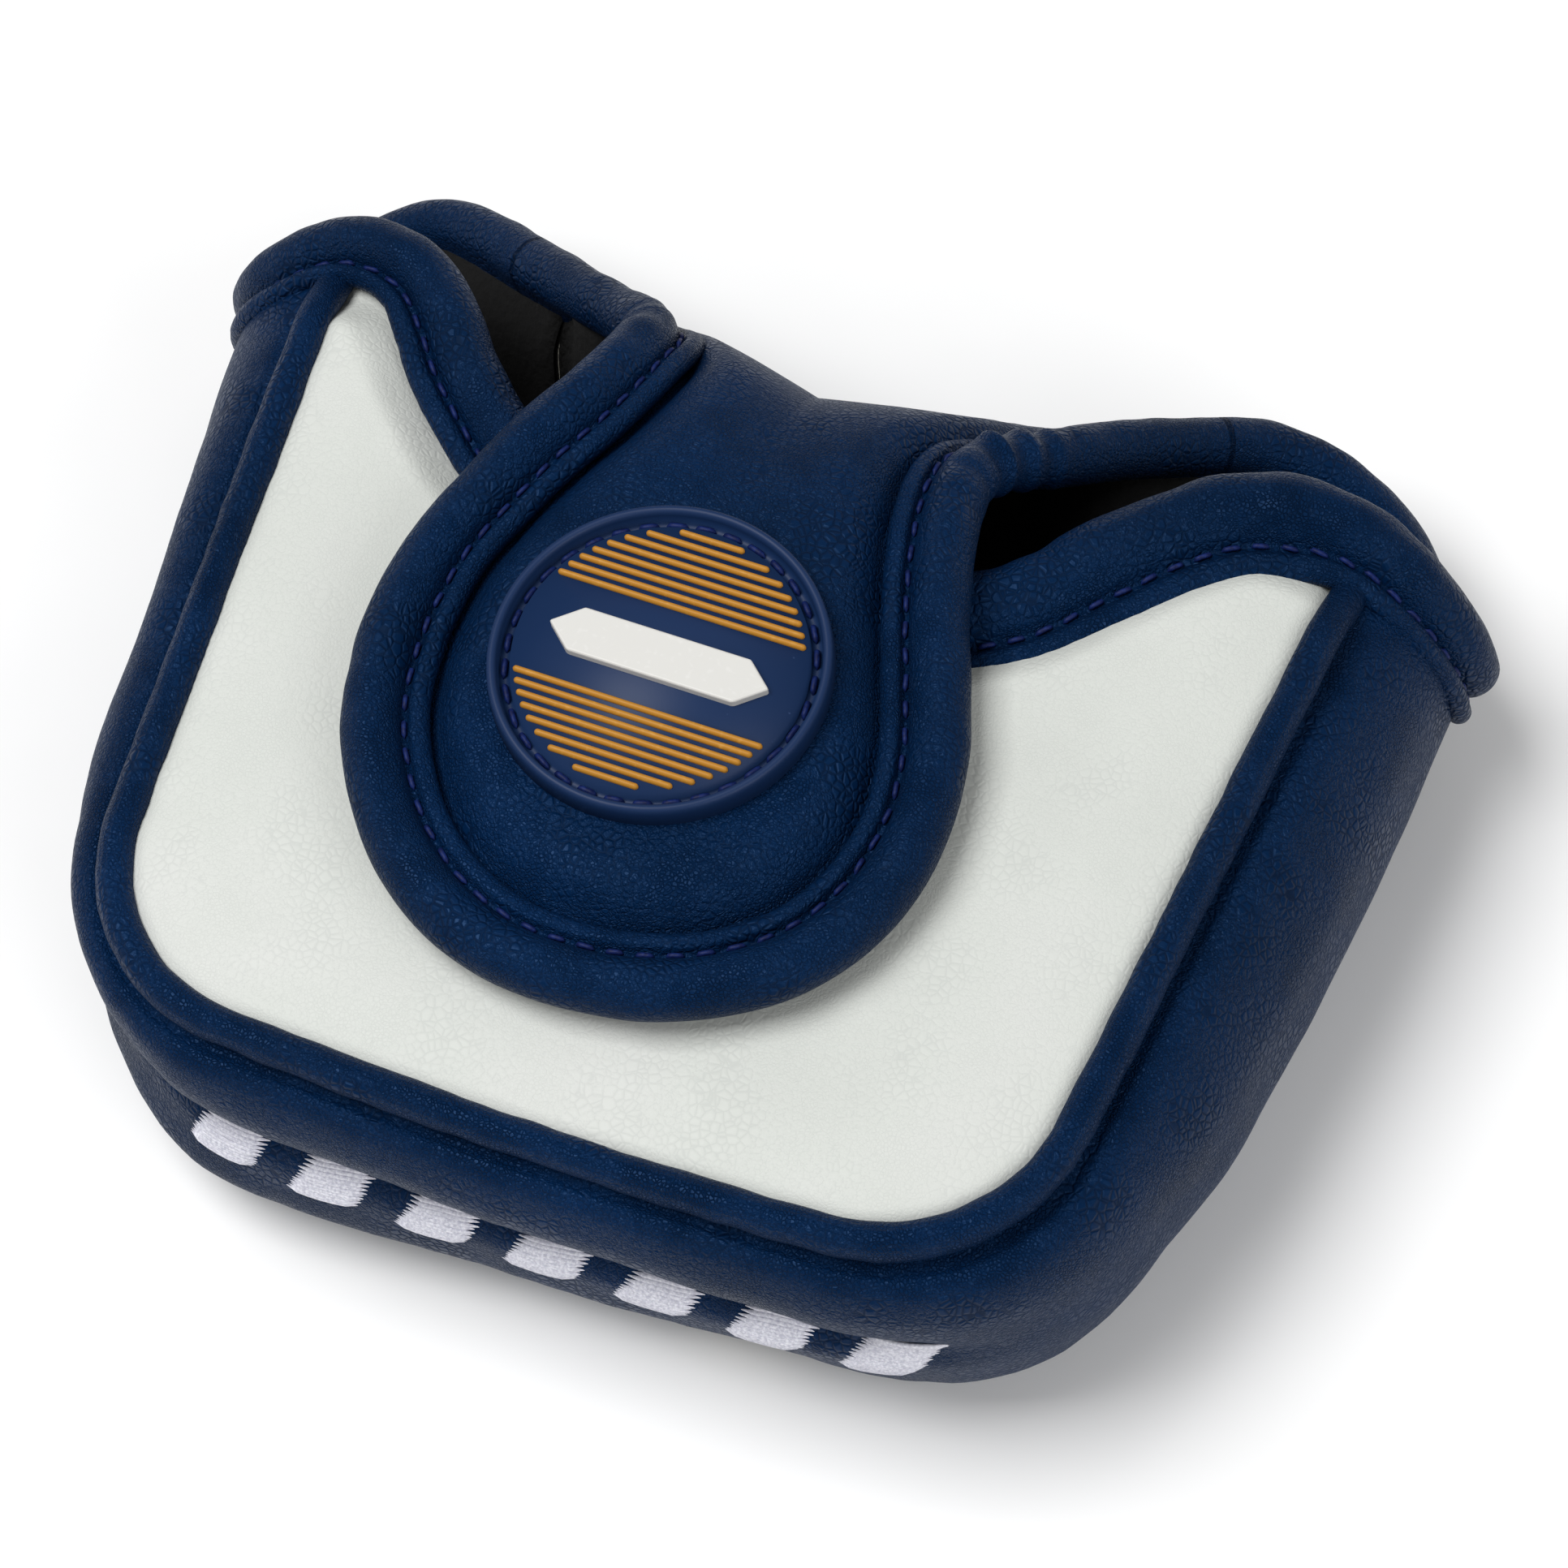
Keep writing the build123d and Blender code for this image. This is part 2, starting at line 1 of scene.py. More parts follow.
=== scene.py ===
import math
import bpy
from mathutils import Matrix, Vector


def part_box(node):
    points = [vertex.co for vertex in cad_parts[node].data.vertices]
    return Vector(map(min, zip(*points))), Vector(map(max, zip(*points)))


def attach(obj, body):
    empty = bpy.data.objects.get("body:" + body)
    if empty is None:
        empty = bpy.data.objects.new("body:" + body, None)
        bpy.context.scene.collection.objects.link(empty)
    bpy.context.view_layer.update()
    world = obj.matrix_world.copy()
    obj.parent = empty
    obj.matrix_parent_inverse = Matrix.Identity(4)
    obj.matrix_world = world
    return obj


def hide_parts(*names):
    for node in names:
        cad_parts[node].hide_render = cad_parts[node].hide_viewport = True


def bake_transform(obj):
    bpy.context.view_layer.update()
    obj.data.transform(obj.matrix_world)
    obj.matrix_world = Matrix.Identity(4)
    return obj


bl_info = {
    "name": "Padded Putter Head Cover",
    "version": (1, 0, 0),
    "blender": (4, 5, 0),
    "location": "3D View > Sidebar > Head Cover",
    "description": "Builds the soft pieces, thread and badge of a padded head cover around its CAD frame",
    "category": "Object",
}

import bmesh
import bpy
import numpy as np
from bpy.props import FloatProperty, PointerProperty, StringProperty
from mathutils import Matrix, Vector, noise

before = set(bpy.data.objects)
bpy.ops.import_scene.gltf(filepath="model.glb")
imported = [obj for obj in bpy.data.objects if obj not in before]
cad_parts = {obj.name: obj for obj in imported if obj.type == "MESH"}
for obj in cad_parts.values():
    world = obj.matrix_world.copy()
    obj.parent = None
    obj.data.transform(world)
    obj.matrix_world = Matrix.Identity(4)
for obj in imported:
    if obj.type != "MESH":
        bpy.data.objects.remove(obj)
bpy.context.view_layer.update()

MM = 0.001

# Everything is drawn in millimetres on the pattern's own axes, whose origin lies under the badge,
# and is moved onto the frame when its mesh is made.
BADGE_Y = 2.0
badge_low, badge_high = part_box("badge_base")
PATTERN_SHIFT = Vector((0.0, (badge_low.y + badge_high.y) / 2 - BADGE_Y * MM, 0.0))
BADGE_FOOT = badge_low.z / MM
BADGE_X = (badge_low.x + badge_high.x) / 2 / MM

SEED = 7
UP = np.array([0.0, 0.0, 1.0])
INSIDE = (0.0, 0.0, 20.0)     # a place inside the pouch, which its outer faces look away from


# ---- lines and tables of points ----
def spline(points, steps=12):
    """A smooth line through rows of numbers, of any width."""
    rows = np.array(points, float)
    rows = np.vstack([2 * rows[0] - rows[1], rows, 2 * rows[-1] - rows[-2]])
    at = np.linspace(0, 1, steps, endpoint=False)[:, None]
    spans = []
    for a, b, c, d in zip(rows, rows[1:], rows[2:], rows[3:]):
        spans.append(b + 0.5 * at * (c - a + at * (2 * a - 5 * b + 4 * c - d + at * (3 * (b - c) + d - a))))
    return np.vstack(spans + [rows[-2:-1]])


def lengths(line):
    """Distance along a line to each of its rows."""
    steps = np.linalg.norm(np.diff(line[:, :3], axis=0), axis=1)
    return np.concatenate([[0.0], np.cumsum(steps)])


def at_lengths(line, where):
    """Rows of a line at these distances along it."""
    along = lengths(line)
    return np.stack([np.interp(where, along, column) for column in line.T], axis=1)


def even(line, count):
    """The line again, in rows an equal distance apart."""
    return at_lengths(line, np.linspace(0, lengths(line)[-1], count))


def unit(rows):
    """Rows scaled to a length of one."""
    return rows / np.maximum(np.linalg.norm(rows, axis=-1, keepdims=True), 1e-9)


def ease(value, low, high):
    """0 below low, 1 above high, smooth between."""
    t = np.clip((value - low) / (high - low), 0, 1)
    return t * t * (3 - 2 * t)


def rumple(points, wave, seed=0.0):
    """Smooth noise at each point, about -1 to 1, with this wavelength in millimetres."""
    flat = points.reshape(-1, 3) / wave + seed
    values = [noise.noise(Vector(p)) for p in flat]
    return np.array(values).reshape(points.shape[:-1])


def outward(table, inside):
    """Unit normals of a table of points, turned away from a point inside the object."""
    normals = unit(np.cross(np.gradient(table, axis=0), np.gradient(table, axis=1)))
    away = np.einsum("ijk,ijk->", normals, table - np.array(inside))
    return normals if away > 0 else -normals


# ---- meshes ----
def new_object(name, bm):
    """A bmesh in millimetres on the pattern's axes becomes an object on the frame."""
    mesh = bpy.data.meshes.new(name)
    bmesh.ops.scale(bm, vec=(MM, MM, MM), verts=bm.verts)
    bmesh.ops.translate(bm, vec=PATTERN_SHIFT, verts=bm.verts)
    for face in bm.faces:
        face.smooth = True
    bm.to_mesh(mesh)
    bm.free()
    obj = bpy.data.objects.new(name, mesh)
    bpy.context.scene.collection.objects.link(obj)
    return obj


def grid_from(table, bm=None):
    """A grid of quads laid over a table of points."""
    bm = bm or bmesh.new()
    rows, columns = table.shape[:2]
    made = bmesh.ops.create_grid(bm, x_segments=rows - 1, y_segments=columns - 1, size=1.0)
    for vert in made["verts"]:
        i = round((vert.co.x + 1) / 2 * (rows - 1))
        j = round((vert.co.y + 1) / 2 * (columns - 1))
        vert.co = table[i, j]
    return bm


def face_away(bm, inside):
    """Turns an open sheet so that its faces look away from a point inside the object."""
    bm.normal_update()
    centre = Vector(inside)
    total = sum(f.normal.dot(f.calc_center_median() - centre) * f.calc_area() for f in bm.faces)
    if total < 0:
        bmesh.ops.reverse_faces(bm, faces=bm.faces)


def sheet_object(name, table, inside, thickness):
    """An open sheet with its outer face on the table and its thickness inwards."""
    bm = grid_from(table)
    bmesh.ops.remove_doubles(bm, verts=bm.verts, dist=0.01)
    face_away(bm, inside)
    obj = new_object(name, bm)
    wall = obj.modifiers.new("Wall", "SOLIDIFY")
    wall.thickness = thickness * MM
    wall.offset = -1.0
    return obj


def shell_object(name, outer, inner):
    """A layer between two tables of points, closed round its edge."""
    bm = grid_from(inner, grid_from(outer))
    bmesh.ops.bridge_loops(bm, edges=[edge for edge in bm.edges if edge.is_boundary])
    bmesh.ops.remove_doubles(bm, verts=bm.verts, dist=0.005)
    bmesh.ops.recalc_face_normals(bm, faces=bm.faces)
    return new_object(name, bm)


def closed_tube(table, bm=None):
    """Rings of points, the last point of each ring the same as its first, with both ends closed."""
    bm = grid_from(table, bm)
    bmesh.ops.remove_doubles(bm, verts=bm.verts, dist=0.002)
    holes = [edge for edge in bm.edges if edge.is_boundary]
    bmesh.ops.holes_fill(bm, edges=holes, sides=0)
    for edge in holes:
        edge.smooth = False
    bmesh.ops.recalc_face_normals(bm, faces=bm.faces)
    return bm


def ring_table(line, across, up, section, scale):
    """Sections (across, up) placed along a line, scaled by a number for each place."""
    part_a = across[:, None, :] * section[None, :, 0:1]
    part_b = up[:, None, :] * section[None, :, 1:2]
    return line[:, None, :] + (part_a + part_b) * scale[:, None, None]


def circle(count):
    """A closed section of radius one."""
    angle = np.linspace(0, 2 * math.pi, count + 1)
    return np.stack([np.cos(angle), np.sin(angle)], axis=1)


def side_frames(line, normals):
    """Unit directions along, across and up for a line with a wanted normal at each place."""
    along = unit(np.gradient(line, axis=0))
    across = unit(np.cross(normals, along))
    return along, across, unit(np.cross(along, across))


def round_ends(line, radius):
    """Scale of a section so that both ends close in a half ball."""
    along = lengths(line)
    from_end = np.minimum(along, along[-1] - along)
    share = np.clip(from_end / radius, 0.02, 1)
    return np.sqrt(1 - (1 - share) ** 2)


def simple_tube(line, radius, sides=10):
    """A plain tube with round ends along a line."""
    _, across, up = side_frames(line, np.array([0.013, 0.017, 1.0]))
    return closed_tube(ring_table(line, across, up, circle(sides) * radius, round_ends(line, radius)))


# ---- routes ----
def route(rows):
    """Rows of x, y, z and the outer face's normal, where one without a normal faces up."""
    return [row + (0, 0, 1) if len(row) == 3 else row for row in rows]


# Middle of the binding round the mouth, from the middle of its near edge to the bottom panel's ear.
MOUTH_RIGHT = route([
    (0.0, 20.3, 39.2), (13.0, 21.8, 39.2), (25.8, 27.4, 39.4), (33.2, 34.8, 39.7), (39.4, 41.5, 39.9),
    (46.8, 47.4, 40.0, 0.05, 0, 1), (54.5, 49.8, 39.6, 0.2, 0, 0.98), (62.7, 49.1, 38.3, 0.5, 0, 0.87),
    (70.0, 47.0, 34.0, 0.8, 0, 0.6), (74.6, 45.8, 27.0, 0.97, 0.05, 0.2),
    (75.9, 46.4, 20.5, 1, 0.1, -0.05), (74.0, 50.0, 15.0, 0.85, 0.35, -0.4),
    (69.0, 54.8, 13.2, 0.5, 0.6, -0.62), (64.4, 60.0, 14.4, 0.15, 0.72, -0.68),
    (58.9, 63.8, 16.8, 0, 0.77, -0.64), (52.4, 65.8, 19.4, 0, 0.8, -0.6),
    (46.0, 65.2, 21.9, 0, 0.84, -0.54), (40.0, 62.4, 24.8, 0, 0.88, -0.48),
])
MOUTH_LEFT = route([
    (0.0, 20.3, 39.2), (-14.0, 21.2, 39.2), (-24.0, 23.4, 39.3), (-31.6, 27.0, 39.5),
    (-36.8, 30.9, 39.7), (-42.2, 35.9, 39.9), (-46.3, 40.7, 40.0), (-51.4, 45.2, 40.0, -0.05, 0, 1),
    (-57.5, 47.2, 39.6, -0.2, 0, 0.98), (-63.5, 46.9, 38.3, -0.5, 0, 0.87),
    (-69.6, 44.4, 34.5, -0.8, 0, 0.6), (-73.8, 43.2, 29.0, -0.97, 0.05, 0.2),
    (-75.8, 44.6, 21.5, -1, 0.1, -0.05), (-74.8, 50.6, 16.0, -0.85, 0.35, -0.4),
    (-70.5, 58.6, 14.6, -0.5, 0.6, -0.62), (-66.0, 62.8, 16.0, -0.15, 0.72, -0.68),
    (-60.5, 64.6, 18.2, 0, 0.77, -0.64), (-54.0, 63.0, 20.9, 0, 0.8, -0.6),
    (-45.7, 59.2, 24.6, 0, 0.88, -0.48),
])
EAR_TOP, EAR_TOP_LEFT = 7, 9      # each list's row at the top panel's ear
EAR_LOW, EAR_LOW_LEFT = 12, 14    # and at the corner between gusset and bottom panel

# Middle of the flap's binding from the bottom panel's ear, up the neck and round the tongue.
FLAP_LEFT = route([
    (-45.7, 59.2, 24.6, 0, 0.88, -0.48), (-36.0, 54.4, 30.0, 0, 0.96, -0.25),
    (-28.0, 50.0, 35.4, 0, 0.97, 0.25), (-24.0, 46.6, 39.8, 0, 0.8, 0.6),
    (-23.8, 41.6, 43.2, 0, 0.45, 0.89), (-25.6, 33.4, 45.7, 0, 0.22, 0.975),
    (-28.9, 25.0, 46.8, 0, 0.08, 1), (-31.4, 17.8, 47), (-33.6, 10.4, 47), (-34.3, 3.0, 47),
    (-33.9, -4.6, 47), (-32.0, -12.6, 47), (-28.2, -19.8, 47), (-22.9, -26.2, 47), (-16.0, -31.2, 47),
    (-8.2, -34.0, 47), (0.5, -34.5, 47),
])
FLAP_RIGHT = route([
    (0.5, -34.5, 47), (9.3, -33.0, 47), (17.3, -29.4, 47), (23.8, -23.9, 47), (28.2, -16.2, 47),
    (29.9, -7.0, 47), (28.9, 2.4, 47), (26.0, 11.0, 47), (23.0, 18.6, 46.9),
    (20.6, 26.0, 46.4, 0, 0.12, 1), (19.0, 33.0, 45.4, 0, 0.25, 0.97), (18.6, 38.8, 43.4, 0, 0.5, 0.87),
    (20.2, 43.6, 40.0, 0, 0.82, 0.55), (24.9, 49.0, 35.0, 0, 0.99, 0.1),
    (31.9, 55.9, 29.7, 0, 0.96, -0.25), (40.0, 62.4, 24.8, 0, 0.88, -0.48),
])
SPINE_X = -3.0
TONGUE_Y = -3.0       # the tongue is round in front of this, and the neck runs back from it
# Side view of the flap's outer face along its middle, from the tongue over the fold to the wall.
SPINE = [(-3.0, 50.2), (8.0, 50.2), (18.0, 50.1), (26.5, 49.3), (34.0, 47.3), (40.2, 44.3), (44.7, 40.0),
         (47.3, 35.0), (48.8, 29.0)]
WALL_TOP = 29.0       # the bottom panel's leather gives way to the flap's at this height

LOOP_COUNT = 1320
# Where the binding is gathered into puckers at the flap's roots: place, reach and strength.
GATHERS = ((FLAP_LEFT[3], 4.5, 0.35), (FLAP_RIGHT[12], 7.0, 1.0))


def binding_loop():
    """The binding's whole closed line with normals, how far it is gathered and how wide its lip is.

    It runs from the left ear along the mouth's near edge to the right ear, and back round the flap.
    Returns its rows and the number of the row where the flap's share begins.
    """
    rows = MOUTH_LEFT[::-1] + MOUTH_RIGHT[1:] + FLAP_RIGHT[::-1][1:] + FLAP_LEFT[::-1][1:]
    closed = spline([rows[-2]] + rows + [rows[1]])[12:-12]
    line = even(closed, LOOP_COUNT)
    gather = np.zeros(len(line))
    for middle, reach, strength in GATHERS:
        away = np.linalg.norm(line[:, :3] - np.array(middle[:3]), axis=1)
        gather = gather + strength * np.exp(-(away / reach) ** 2)
    # the lip is widest on the mouth's right side and narrow at the left ear
    x, y, z = line[:, :3].T
    near = (z > 33) & (z < 42) & (y < 52) & (np.arange(len(line)) < len(line) / 2)
    wide_right, slim_left = ease(x, 4, 24) * (1 - ease(x, 54, 64)), 1 - ease(x, -60, -44)
    widen = 1 + near * (0.12 + 0.5 * wide_right - 0.3 * slim_left)
    widen = np.convolve(np.pad(widen, 12, mode="wrap"), np.ones(25) / 25, mode="valid")
    join = int(np.argmin(np.linalg.norm(line[:, :3] - np.array(MOUTH_RIGHT[-1][:3]), axis=1)))
    return np.column_stack([line, gather, widen]), join


# Shares of one side's rows, counted from the front's middle, at which the front and the corner end.
FRONT_SHARE, CORNER_SHARE = 0.26, 0.46
# Outline of the top seam on each side: half width at y 0, flare, front line, corner radius, bow.
SEAM = {1: (59.3, 0.083, -50.3, 22.0, 0.9), -1: (58.3, 0.10, -50.3, 22.0, 0.9)}


def outline_row(half, flare, front, radius, bow, back, shares):
    """Points and outward normals of one side's outline, from the middle of the front to the mouth."""
    slant = math.hypot(1, flare)
    centre_y = front + radius
    centre_x = half + flare * centre_y - radius * slant
    last = math.atan2(-flare, 1)
    corner = np.clip((shares - FRONT_SHARE) / (CORNER_SHARE - FRONT_SHARE), 0, 1)
    angle = -math.pi / 2 + corner * (last + math.pi / 2)
    x = centre_x + radius * np.cos(angle)
    y = centre_y + radius * np.sin(angle)
    in_front = shares < FRONT_SHARE
    x = np.where(in_front, centre_x * shares / FRONT_SHARE, x)
    y = np.where(in_front, front - bow * (1 - (x / centre_x) ** 2), y)
    on_side = shares > CORNER_SHARE
    side = (shares - CORNER_SHARE) / (1 - CORNER_SHARE)
    side_y = centre_y + radius * math.sin(last) + side * (back - centre_y - radius * math.sin(last))
    x = np.where(on_side, half + flare * side_y, x)
    y = np.where(on_side, side_y, y)
    return np.stack([x, y], axis=-1), np.stack([np.cos(angle), np.sin(angle)], axis=-1)


# Section of the gusset from the top seam to the bottom seam: outwards and height.
SIDE_SECTION = [(0.2, 38.9), (2.0, 38.3), (3.6, 38.5), (6.2, 37.4), (9.3, 34.2), (11.6, 30.0), (12.7, 25.0),
                (13.1, 20.5), (12.4, 15.6), (10.8, 10.8), (8.6, 6.4), (6.0, 2.6)]
FRONT_SECTION = [(0.2, 38.9), (1.9, 37.8), (3.2, 38.0), (4.9, 36.6), (5.9, 33.4), (6.0, 29.5),
                 (6.0, 25.0), (6.0, 20.8), (5.7, 16.2), (4.9, 11.4), (2.6, 6.4), (-1.4, 2.6)]
SECTION_STEPS = 5
CREASE_Z = 24.6       # height of the crease along the front, under the swell at the seam
CREASE_DEPTH = 3.4
CREASE_WIDTH = 2.7
SWELL_Z = 31.5
BELLY_Z = 11.0        # height at which the front bulges most
SEAM_BACK = 48.0      # the gusset and top panel end here, and the piping a little before
PIPING_BACK = 45.0


def gusset_half(side, count, puckers=True):
    """One half of the gusset as a table: along the outline, then down the section."""
    shares = np.linspace(0, 1, count)
    seam, normal = outline_row(*SEAM[side], SEAM_BACK, shares)
    sides, fronts = (spline(section, SECTION_STEPS) for section in (SIDE_SECTION, FRONT_SECTION))
    ear = MOUTH_RIGHT[EAR_TOP:EAR_LOW + 1] if side > 0 else MOUTH_LEFT[EAR_TOP_LEFT:EAR_LOW_LEFT + 1]
    end = even(spline([row[:3] for row in ear]), len(sides))
    turn = ease(shares, 0.32, 0.57)[:, None]
    out, height = (fronts[None, :, i] * (1 - turn) + sides[None, :, i] * turn for i in (0, 1))
    # the crease runs along the front, dies in the right corner and lasts further round the left
    shares = shares[:, None]
    fade = 1 - ease(shares, 0.22, 0.38) if side > 0 else 1 - ease(shares, 0.44, 0.80)
    dip = np.exp(-((height - CREASE_Z) / CREASE_WIDTH) ** 2) * fade
    swell = np.exp(-((height - SWELL_Z) / 4.0) ** 2) * fade
    out = out - CREASE_DEPTH * dip + 0.5 * swell
    # the left half of the front is fuller low down, and the right corner all over
    left = 0.5 - 0.5 * side * ease(shares, 0.0, FRONT_SHARE)
    belly = np.exp(-((height - BELLY_Z) / 6.5) ** 2) * (3.4 * left - 0.8)
    if side > 0:
        out = out + 1.3 * np.exp(-((shares - 0.37) / 0.07) ** 2) * ease(out, 0.0, 5.0)
    out = out + belly * (1 - ease(shares, 0.27, 0.40))
    # the left side is slimmer, and both widen towards the mouth
    along_side = np.clip((shares - CORNER_SHARE) / (1 - CORNER_SHARE), 0, 1)
    slim = 2.5 if side < 0 else -0.2
    full = ease(height, 12.0, 20.0) * (1 - ease(height, 30.0, 38.0))
    out = out - slim * full * ease(shares, 0.22, 0.40) * (1 - ease(along_side, 0.45, 0.9))
    out = out * (1 + 0.12 * along_side)
    x, y = (seam[:, None, i] + normal[:, None, i] * out for i in (0, 1))
    y = y + along_side * (end[None, :, 1] - y[-1:])
    table = np.stack([side * x, y, height], axis=-1)
    # and the last rows run into the mouth's edge
    weight = ease(along_side, 0.62, 1.0)[..., None]
    table = table * (1 - weight) + end[None, :, :] * weight
    return table + gusset_puckers(table, out, side) if puckers else table


def gusset_puckers(table, out, side):
    """Gathers that run down from the piping, and a slow unevenness of the padding."""
    normals = outward(table, INSIDE)
    along = lengths(table[:, 0, :])[:, None]
    near_seam = np.exp(-np.maximum(out, 0) / 3.4)
    waves = np.array([noise.noise(Vector((a / 3.1, side * 9.0, 2.0))) for a in along[:, 0]])[:, None]
    slow = rumple(table, 17.0, 3.0) * 0.40 + rumple(table, 6.5, 8.0) * 0.13
    edge = ease(out, 0.0, 4.0)
    return normals * (0.75 * waves * near_seam * edge + slow * edge)[..., None]


def gusset_table(count=150, puckers=True):
    """The whole gusset from the left end of the mouth round the front to the right end."""
    left, right = (gusset_half(side, count, puckers) for side in (-1, 1))
    right[0] = (left[0] + right[0]) / 2
    return np.concatenate([left[::-1][:-1], right], axis=0)


def scoop_line():
    """The top panel's mouth edge from the left ear to the right ear."""
    rows = [row[:3] for row in MOUTH_LEFT[:EAR_TOP_LEFT + 1]][::-1]
    return spline(rows + [row[:3] for row in MOUTH_RIGHT[1:EAR_TOP + 1]])


TOP_Z = 41.3          # the top panel's height at its seams, before it is crowned
SEAM_DROP = 1.9
MOUTH_DROP = 4.3


def top_panel_table(count=130):
    """The top panel by blending its four edges, crowned and pulled down at its seams."""
    shares = np.linspace(0, 1, 400)
    seam, other = (outline_row(*SEAM[side], SEAM_BACK, shares)[0] for side in (1, -1))
    corner_row = int(len(shares) * (FRONT_SHARE + CORNER_SHARE) / 2)
    other = other * (-1.0, 1.0)
    front, left, right = (
        even(np.vstack(parts), count)
        for parts in ((other[corner_row::-1], seam[1:corner_row + 1]),
                      (other[corner_row:-1], [MOUTH_LEFT[EAR_TOP_LEFT][:2]]),
                      (seam[corner_row:-1], [MOUTH_RIGHT[EAR_TOP][:2]])))
    back = even(scoop_line(), count)[:, :2]
    u = np.linspace(0, 1, count)[:, None, None]
    v = np.linspace(0, 1, count)[None, :, None]
    ruled_v = front[:, None] * (1 - v) + back[:, None] * v
    ruled_u = left[None] * (1 - u) + right[None] * u
    corners = (front[0] * (1 - u) * (1 - v) + front[-1] * u * (1 - v)
               + back[0] * (1 - u) * v + back[-1] * u * v)
    plan = ruled_v + ruled_u - corners
    to_seam, to_mouth = distance(plan, np.vstack([front, left, right])), distance(plan, back)
    z = TOP_Z + 0.9 * ease(to_seam, 0, 12) + 0.5 * ease(to_seam, 8, 40)
    z = z - SEAM_DROP * (1 - ease(to_seam, 0.0, 3.6)) - MOUTH_DROP * (1 - ease(to_mouth, 5.0, 12.5))
    table = np.concatenate([plan, z[..., None]], axis=-1)
    nearby = np.exp(-to_seam / 5.0) + np.exp(-np.maximum(to_mouth - 5, 0) / 5.0)
    table[..., 2] += rumple(table, 4.5, 5.0) * 0.22 * nearby + rumple(table, 22.0, 1.0) * 0.30
    table[..., 2] += rumple(table * np.array([1.0, 0.45, 1.0]), 5.5, 12.0) * 0.06
    return table


def distance(points, line):
    """Distance in plan from each point of a table to the nearest point of a line."""
    flat = points.reshape(-1, 1, 2)
    away = np.min(np.linalg.norm(flat - line[None, ::2, :2], axis=-1), axis=1)
    return away.reshape(points.shape[:-1])


# ---- flap surface ----
# Lift of the padded field off the sheet, by the distance in from the binding's middle.
FIELD = [(0.0, -1.6), (5.6, -1.7), (6.8, -1.5), (7.6, -0.2), (8.7, 1.3), (10.4, 2.5), (12.8, 3.1),
         (60.0, 3.1)]
ALL_FLOOR = -9.0      # a lift that leaves nothing of the field above its floor


def flap_table(extra=0.0, floor=ALL_FLOOR, rings=36, stations=110):
    """Rows across the flap from its left binding to its right one, from the wall to the tongue's tip."""
    spine_curve = spline([(SPINE_X, y, z) for y, z in SPINE], 10)
    spine_up = np.cross(np.gradient(spine_curve, axis=0), [-1.0, 0.0, 0.0])
    spine_up = unit(np.where(spine_up[:, 1:2] + spine_up[:, 2:3] < 0, -spine_up, spine_up))
    spine = np.hstack([spine_curve - 3.1 * spine_up, spine_up])
    neck = np.linspace(0, 1, stations // 2)
    middle = at_lengths(spine, lengths(spine)[-1] * (1 - np.append(neck, np.ones(stations - len(neck)))))
    sides = []
    for points in (FLAP_LEFT, FLAP_RIGHT[::-1]):
        edge = spline(points, 24)
        edge = edge[edge[:, 2] >= WALL_TOP]
        along = lengths(edge)
        reach = along[np.argmax(edge[:, 1] < TONGUE_Y)]
        round_tongue = reach + (along[-1] - reach) * np.linspace(0, 1, stations - len(neck) + 1)[1:]
        sides.append(at_lengths(edge, np.append(neck * reach, round_tongue)))
    halves = [flap_half(middle, edge, rings, extra, floor) for edge in sides]
    return np.concatenate([halves[0][:, ::-1], halves[1][:, 1:]], axis=1)


def flap_half(middle, edge, rings, extra, floor):
    """Rays from the flap's middle line out to one binding, lifted off the sheet by the padding."""
    r = np.linspace(0, 1, rings)[None, :, None]
    edge, middle = edge[:, None, :], middle[:, None, :]
    points = middle[..., :3] * (1 - r) + edge[..., :3] * r
    # the sheet keeps the middle's height and bends to its edge only near the binding
    in_neck = edge[..., 1:2] > TONGUE_Y
    points[..., 2:3] += (edge[..., 2:3] - middle[..., 2:3]) * (ease(r, 0.30, 1.0) - r) * in_neck
    normals = unit(middle[..., 3:6] * (1 - r) + edge[..., 3:6] * r)
    inwards = np.linalg.norm(edge[..., :3] - points, axis=-1)
    lift = np.interp(inwards, *zip(*FIELD))
    lift = lift + rumple(points, 16.0, 4.0) * 0.25 * ease(inwards, 6, 12)
    gather = rumple(points * np.array([1.0, 0.5, 1.0]), 4.2, 6.0) * np.exp(-np.abs(inwards - 9) / 3.0)
    lift = np.maximum(lift + 0.16 * gather + extra, floor)
    return points + normals * lift[..., None]


# ---- bottom panel surface ----
CURL_Y = 24.0         # the bottom is flat in front of this, and curls up behind it
FLOOR_Z = 0.5
RIM_RISE = 2.1        # how far the bottom rises to its seam
CURL_START = 1.35     # how strongly the curl keeps its direction at its start and at its end
CURL_END = 1.1


